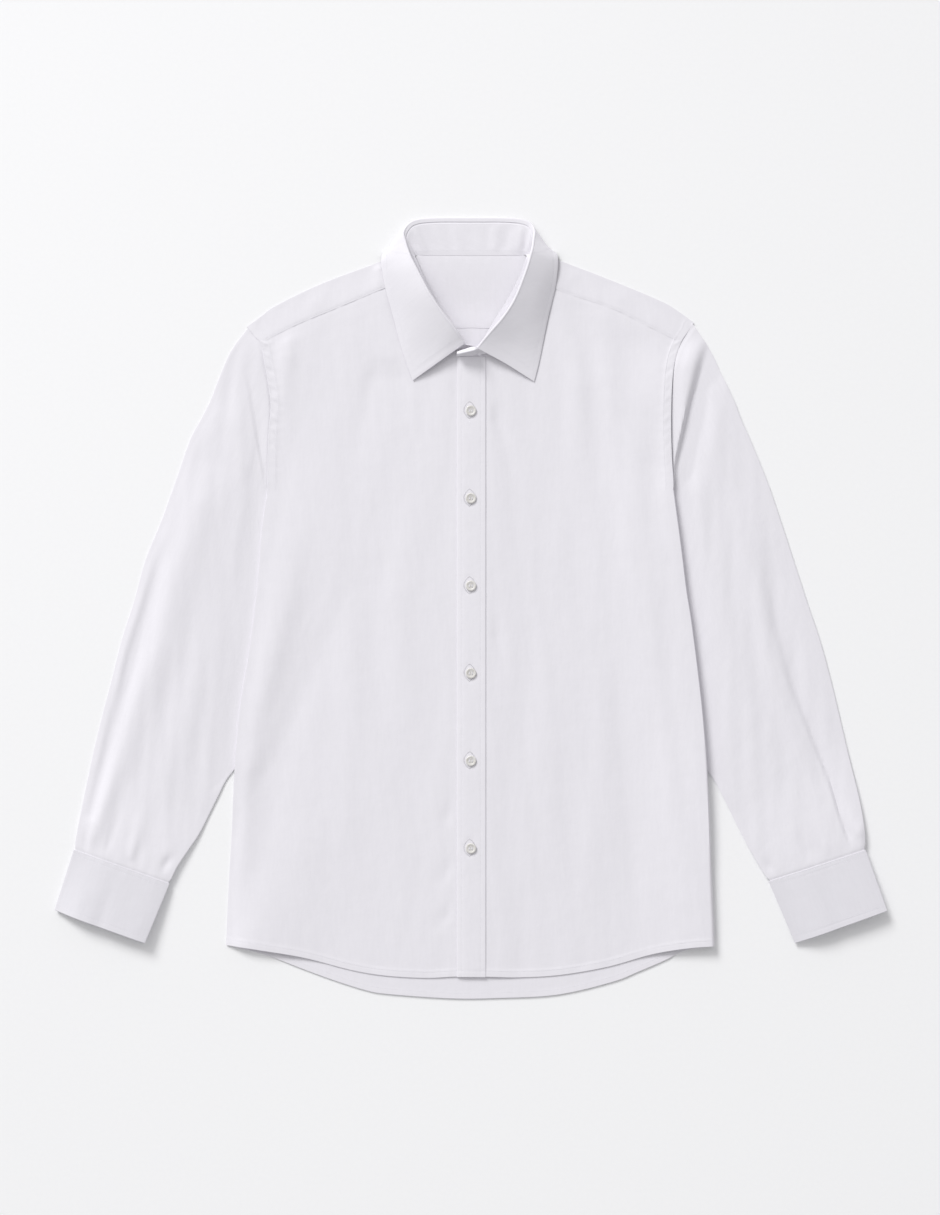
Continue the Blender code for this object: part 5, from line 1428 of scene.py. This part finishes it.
# %% Geometry Nodes: a row of stitches
def stitch_tree():
    """Nodes that set a length of thread on each step of a line."""
    tree = bpy.data.node_groups.new("row_of_stitches", "GeometryNodeTree")
    face = tree.interface
    face.new_socket("Geometry", in_out="INPUT", socket_type="NodeSocketGeometry")
    for label, kind, value in (("Pitch", "Float", 0.0024), ("Length", "Float", 0.0019),
                               ("Width", "Float", 0.00032), ("Thickness", "Float", 0.00032),
                               ("Unevenness", "Float", 0.1),
                               ("Seed", "Int", 1)):
        face.new_socket(label, in_out="INPUT", socket_type="NodeSocket" + kind).default_value = value
    face.new_socket("Thread", in_out="INPUT", socket_type="NodeSocketMaterial")
    face.new_socket("Geometry", in_out="OUTPUT", socket_type="NodeSocketGeometry")
    add = adder(tree)
    given, result = add("NodeGroupInput"), add("NodeGroupOutput")
    line = add("GeometryNodeMeshToCurve", [(given.outputs["Geometry"], "Mesh")])
    steps = add("GeometryNodeResampleCurve", [(line.outputs["Curve"], "Curve"),
                                              (given.outputs["Pitch"], "Length")], mode="LENGTH")
    grain = add("GeometryNodeMeshUVSphere", Segments=6, Rings=4, Radius=0.5)
    upright = add("GeometryNodeTransform", [(grain.outputs["Mesh"], "Geometry")],
                  Rotation=(0.0, math.pi / 2, 0.0))      # its poles point along the stitch
    tangent = add("GeometryNodeInputTangent")
    up = add("GeometryNodeInputNamedAttribute", data_type="FLOAT_VECTOR", Name="up")
    along_line = add("FunctionNodeAlignRotationToVector", [(tangent.outputs["Tangent"], "Vector")],
                     axis="X")
    off_cloth = add("FunctionNodeAlignRotationToVector",
                    [(along_line.outputs["Rotation"], "Rotation"),
                     (up.outputs["Attribute"], "Vector")], axis="Z", pivot_axis="X")

    def uneven(seed_step, name):
        """A size that varies from stitch to stitch."""
        limits = [add("ShaderNodeMath", [(given.outputs["Unevenness"], 1)], operation=sign)
                  for sign in ("SUBTRACT", "ADD")]
        for limit in limits:
            limit.inputs[0].default_value = 1.0
        seed = add("ShaderNodeMath", [(given.outputs["Seed"], 0)], operation="ADD")
        seed.inputs[1].default_value = seed_step
        factor = add("FunctionNodeRandomValue", [(limits[0].outputs[0], 2), (limits[1].outputs[0], 3),
                                                 (seed.outputs[0], "Seed")], data_type="FLOAT")
        size = add("ShaderNodeMath", [(given.outputs[name], 0), (factor.outputs[1], 1)],
                   operation="MULTIPLY")
        return size.outputs[0]

    size = add("ShaderNodeCombineXYZ", [(uneven(0, "Length"), "X"), (uneven(1, "Width"), "Y"),
                                        (uneven(2, "Thickness"), "Z")])
    row = add("GeometryNodeInstanceOnPoints", [(steps.outputs["Curve"], "Points"),
                                               (upright.outputs["Geometry"], "Instance"),
                                               (off_cloth.outputs["Rotation"], "Rotation"),
                                               (size.outputs["Vector"], "Scale")])
    real = add("GeometryNodeRealizeInstances", [(row.outputs["Instances"], "Geometry")])
    painted = add("GeometryNodeSetMaterial", [(real.outputs["Geometry"], "Geometry"),
                                              (given.outputs["Thread"], "Material")])
    tree.links.new(painted.outputs["Geometry"], result.inputs["Geometry"])
    return tree


STITCH_TREE = stitch_tree()


def made_plain(ob, modifier, name):
    """Runs a modifier and keeps its result as the object's plain mesh."""
    old = ob.data
    mesh = bpy.data.meshes.new_from_object(ob.evaluated_get(bpy.context.evaluated_depsgraph_get()))
    ob.modifiers.remove(modifier)
    ob.data = mesh
    bpy.data.meshes.remove(old)
    mesh.name = ob.name = name
    mesh.shade_smooth()


# %% Lines of stitches
DROP_FROM = 0.1         # m over the floor, above everything
DROP_JUMP = 0.0015      # m, a step in height that a line of stitches doesn't cross
THREAD_UP = 0.00004     # m, a stitch's middle over the cloth


def drop(tree, line):
    """A line on the pattern, in mm, dropped on to a piece: runs of points with the way up."""
    runs, current = [], []
    for x, y in (line + SHIFT[:2]) * 0.001:
        point, normal, _, _ = tree.ray_cast(Vector((x, y, DROP_FROM)), Vector((0, 0, -1)))
        if point is None or (current and abs(point.z - current[-1][0].z) > DROP_JUMP):
            runs.append(current)
            current = []
        if point is not None:
            current.append((point, normal))
    return [r for r in runs + [current] if len(r) > 3]


def evenly(points, step=0.7):
    """A line's points at even steps."""
    line = Line(points, smooth=False)
    return line.at(np.linspace(0, 1, max(int(line.s[-1] / step), 2) + 1))


def stitches(slot, piece, lines, seed, kind="stitches", **values):
    """Rows of stitches along lines on a finished piece; values are the tree's own."""
    name = "%s_%s" % (kind, slot)
    values = {"Seed": seed, "Thread": thread, **values}
    tree = BVHTree.FromPolygons([v.co for v in piece.data.vertices],
                                [tuple(p.vertices) for p in piece.data.polygons])
    points, ups, edges = [], [], []
    for line in lines:
        for dropped in drop(tree, evenly(line)):
            edges += [(len(points) + i, len(points) + i + 1) for i in range(len(dropped) - 1)]
            points += [p + THREAD_UP * n for p, n in dropped]
            ups += [n for _, n in dropped]
    ob = new_object(name + "_line", points, edges, [])
    up = ob.data.attributes.new("up", "FLOAT_VECTOR", "POINT")
    up.data.foreach_set("vector", np.array(ups).reshape(-1))
    nodes = ob.modifiers.new("nodes", "NODES")
    nodes.node_group = STITCH_TREE
    for item in STITCH_TREE.interface.items_tree:
        if item.in_out == "INPUT" and item.name in values:
            nodes[item.identifier] = values[item.name]
    made_plain(ob, nodes, name)
    tell_size(ob)
    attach(ob, "root")
    return ob


def level(grid, distance, at, lo=0.0, hi=1e9, back=False):
    """The line on a grid that runs a given distance from its first (or last) row."""
    walked = run(grid[..., :2], 0, back=back)
    order = slice(None, None, -1) if back else slice(None)
    line = np.array([[np.interp(distance, walked[order, k], grid[order, k, c]) for c in (0, 1)]
                     for k in range(grid.shape[1])])
    keep = (at(line) >= lo) & (at(line) <= hi)
    return line[keep]


def arm_line(side, inside, low, high):
    """A line beside the armhole seam, on the body."""
    return armhole(side, -inside, np.linspace(low, high, 120)) * [side, 1]


def out_of(line):
    """How far out each point of a line is."""
    return np.abs(line[:, 0])


def yoke_line(side, offset):
    """A line along the front yoke seam, moved up on to the yoke."""
    line = line_of(YOKE_FRONT[side])
    return (line.at(np.linspace(0.012, 0.78, 120)) + [0.35 * offset, 0.94 * offset]) * [side, 1]


def front_rows(side, grid):
    """A front's rows: the hem, and the two lines of the band beside the armhole."""
    return [level(grid, HEM_STITCH, out_of, 10.0, 251.0)] + [arm_line(side, d, 124, 272)
                                                      for d in (BAND_WIDE, BAND_EDGE)]


def placket_rows():
    """The placket's rows: down both edges and across its end."""
    down = np.linspace(-376.5, 260.0, 200)
    left, right = PLACKET[0] + PLACKET_STITCH, PLACKET[1] - PLACKET_STITCH
    return [np.stack([np.full(200, x), down], -1) for x in (left, right)] + [
        np.array([[left, -377.2], [right, -377.2]])]


def cuff_rows(grid):
    """Rows at the seam and at the free edge of a cuff's upper layer."""
    top = grid[:, 1:len(CUFF_SHARE) - 1]
    return [level(top, d, out_of) for d in CUFF_STITCH]


def leaf_rows():
    """Rows round the collar: both halves of its long edge, and its two points."""
    edge = level(leaf.transpose(1, 0, 2)[:, 5:-5], LEAF_STITCH, out_of, back=True)
    return [edge[edge[:, 0] < 0], edge[edge[:, 0] > 0]] + [leaf[k, 22:-5, :2] for k in (5, -6)]


def stand_rows():
    """Rows near the foot and the top of the stand, where it shows behind the neck."""
    grid = stand.transpose(1, 0, 2)
    shown = grid[0, :, 1] > 364.0
    return [grid[np.argmin(abs(rows - d)), shown, :2] for d in (4.6, 33.5)]


yoke_rows = ([yoke_line(side, YOKE_STITCH) for side in (-1, 1)]
             + [arm_line(side, BAND_WIDE, 277, 288) for side in (-1, 1)])
sewn_front_right = stitches("front_right", front_right, front_rows(-1, right_grid), seed=3)
sewn_front_left = stitches("front_left", front_left, front_rows(1, left_grid), seed=5)
back_hem = level(back_grid, BACK_HEM_STITCH, out_of, 0.0, 235.0)
sewn_back_panel = stitches("back_panel", back, [back_hem], seed=7)
sewn_yoke = stitches("yoke", yoke, yoke_rows, seed=9)
sewn_placket = stitches("placket", placket, placket_rows(), seed=11)
sewn_cuff_right = stitches("cuff_right", cuff_right, cuff_rows(cuff_right_grid), seed=13)
sewn_cuff_left = stitches("cuff_left", cuff_left, cuff_rows(cuff_left_grid), seed=15)
sewn_collar_leaf = stitches("collar_leaf", leaf_piece, leaf_rows(), seed=17)
sewn_collar_stand = stitches("collar_stand", stand_piece, stand_rows(), seed=19)

# %% [markdown]
# ## Buttons
#
# Pearl buttons are turned: a flat back, a rounded rim and a sunken face with four holes. The
# profile is spun into a disc, the holes are cut, and two bars of thread cross them.

# %% Buttons
BUTTON_PROFILE = table("r z", (0.0, 1.15), (1.6, 1.15), (2.5, 1.2), (3.1, 1.3), (3.6, 1.55),
                       (4.1, 1.75), (4.6, 1.8), (5.0, 1.7), (5.35, 1.4), (5.5, 1.0),
                       (5.35, 0.6), (4.7, 0.25), (0.0, 0.1))
HOLE_OFF, HOLE_R = 1.3, 0.62      # four holes in a square: off the middle, radius
# each button leans its own way, in degrees
BUTTON_TILT = table("x y", (3.5, -2.0), (2.5, -3.0), (3.0, 1.0), (4.0, -1.0), (1.5, -2.5), (3.0, 2.0))


def turned_disc(profile, steps):
    """A profile spun about z: points and faces."""
    r, z = profile["r"], profile["z"]
    verts, faces = [], []
    for k in range(steps):
        a = 2 * math.pi * k / steps
        verts += [(q * math.cos(a), q * math.sin(a), h) for q, h in zip(r[1:-1], z[1:-1])]
    m = len(r) - 2
    verts += [(0, 0, z[0]), (0, 0, z[-1])]
    for k in range(steps):
        n = (k + 1) % steps
        faces += [(k * m + i, k * m + i + 1, n * m + i + 1, n * m + i) for i in range(m - 1)]
        faces += [(len(verts) - 2, k * m, n * m), (len(verts) - 1, n * m + m - 1, k * m + m - 1)]
    return verts, faces


def solid_of(name, verts, faces):
    """An object from points and faces, facing outwards."""
    ob = new_object(name, [tuple(v) for v in verts], [], faces)
    bm = bmesh.new()
    bm.from_mesh(ob.data)
    bmesh.ops.recalc_face_normals(bm, faces=bm.faces)
    bm.to_mesh(ob.data)
    bm.free()
    return ob


def placed(ob, k):
    """Puts a button's part, made in mm about the button's middle, in its place on the placket."""
    p = np.empty(len(ob.data.vertices) * 3)
    ob.data.vertices.foreach_get("co", p)
    p = p.reshape(-1, 3)
    tilt = [math.radians(BUTTON_TILT[c][k]) for c in "xy"]
    p[:, 2] += p[:, 0] * math.tan(tilt[1]) + p[:, 1] * math.tan(tilt[0])
    p += np.array([BUTTON_X, BUTTON_TOP_Y - k * BUTTON_PITCH, PLACKET_TOP_Z + 0.8]) + SHIFT
    ob.data.vertices.foreach_set("co", (p * 0.001).reshape(-1))
    ob.data.update()


def button(k):
    """A pearl button with four holes cut through it."""
    name = "shirt_button_%d" % (k + 1)
    ob = solid_of(name, *turned_disc(BUTTON_PROFILE, steps=40))
    drill = table("r z", (0.0, 5.0), (HOLE_R, 5.0), (HOLE_R, -2.0), (0.0, -2.0))
    verts, faces = turned_disc(drill, steps=12)
    all_verts, all_faces = [], []
    for x in (-HOLE_OFF, HOLE_OFF):
        for y in (-HOLE_OFF, HOLE_OFF):
            all_faces += [[len(all_verts) + i for i in f] for f in faces]
            all_verts += [(v[0] + x, v[1] + y, v[2]) for v in verts]
    drills = solid_of(name + "_drills", all_verts, all_faces)
    cut = ob.modifiers.new("holes", "BOOLEAN")
    cut.operation, cut.object, cut.solver = "DIFFERENCE", drills, "EXACT"
    made_plain(ob, cut, name)
    bpy.data.objects.remove(drills)
    ob.data.set_sharp_from_angle(angle=math.radians(35))
    placed(ob, k)
    return ob


def grain(length, thick, steps=8, rings=6):
    """A rounded length of thread along x."""
    verts, faces = [], []
    for i in range(1, rings):
        a = math.pi * i / rings
        verts += [(-length / 2 * math.cos(a), thick / 2 * math.sin(a) * math.cos(b),
                   thick / 2 * math.sin(a) * math.sin(b))
                  for b in np.linspace(0, 2 * math.pi, steps, endpoint=False)]
    verts += [(-length / 2, 0, 0), (length / 2, 0, 0)]
    for i in range(rings - 2):
        for j in range(steps):
            n = (j + 1) % steps
            faces.append((i * steps + j, i * steps + n, (i + 1) * steps + n, (i + 1) * steps + j))
    last = (rings - 2) * steps
    for j in range(steps):
        n = (j + 1) % steps
        faces += [(len(verts) - 2, n, j), (len(verts) - 1, last + j, last + n)]
    return np.array(verts), faces


def button_thread(k):
    """Two bars of thread, three strands each, from hole to hole."""
    verts, faces = [], []
    rng = np.random.default_rng(70 + k)
    for x in (-HOLE_OFF, HOLE_OFF):
        for strand in (-0.34, 0.0, 0.34):
            v, f = grain(length=3.7, thick=0.42)
            turned = np.stack([-v[:, 1] + x + strand + rng.uniform(-0.06, 0.06), v[:, 0],
                               v[:, 2] + 1.34 + 0.12 * (strand == 0)], -1)
            faces += [[len(verts) + i for i in face] for face in f]
            verts += [tuple(p) for p in turned]
    ob = solid_of("button_thread_%d" % (k + 1), verts, faces)
    ob.data.shade_smooth()
    placed(ob, k)
    ob.data.materials.append(thread)
    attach(ob, "root")


# %% Pearl
# layered shell: cloudy bands of warm and cool grey under a polished face
pearl = mottled("button_pearl", {"Scale": 420.0, "Detail": 3.0, "Distortion": 1.2},
                [(0.25, (0.60, 0.575, 0.535, 1)), (0.5, (0.73, 0.71, 0.68, 1)),
                 (0.75, (0.82, 0.815, 0.81, 1))],
                {"Strength": 0.3, "Distance": 0.0001},
                {"Roughness": 0.32, "Coat Weight": 0.35, "Coat Roughness": 0.12})
for k in range(BUTTON_COUNT):
    dress(button(k), "button_%d" % (k + 1), pearl)
    button_thread(k)

# %% [markdown]
# ## Buttonholes
#
# Each hole is a slit edged with close zigzag stitches. The buttoned shirt pulls it open, so it
# shows as a pointed oval round the upper left of its button. The same nodes set the stitches,
# wide across the line and close together.

# %% Buttonholes
def pointed_oval(k):
    """The edge of the pulled-open slit of button k."""
    y = np.linspace(-1, 1, 33)
    half = HOLE_WIDE / 2 * np.cos(0.5 * math.pi * y) ** 0.8
    middle = hole_middle(k)
    left = np.stack([-half, y * HOLE_TALL / 2], -1)
    return np.vstack([left, -left[1:]]) + middle


buttonholes = stitches("placket", placket, [pointed_oval(k) for k in range(BUTTON_COUNT)], seed=21,
                       kind="buttonholes", Pitch=0.0012, Length=0.0008, Width=0.0014,
                       Thickness=0.0006, Thread=slit_shade_thread)

# %% [markdown]
# ## Floor
#
# A sheet of pale paper, with faint fibres.

# %% Floor
FLOOR_HALF = 3          # m
floor = new_object("floor", [(x * FLOOR_HALF, y * FLOOR_HALF, 0)
                             for x, y in ((-1, -1), (1, -1), (1, 1), (-1, 1))], [], [(0, 1, 2, 3)])
floor.data.materials.append(mottled("paper", {"Scale": 240.0, "Detail": 5.0},
                                    [(0.3, (0.915, 0.915, 0.92, 1)), (0.7, (0.925, 0.925, 0.93, 1))],
                                    {"Strength": 0.15, "Distance": 0.0002}, {"Roughness": 0.9}))
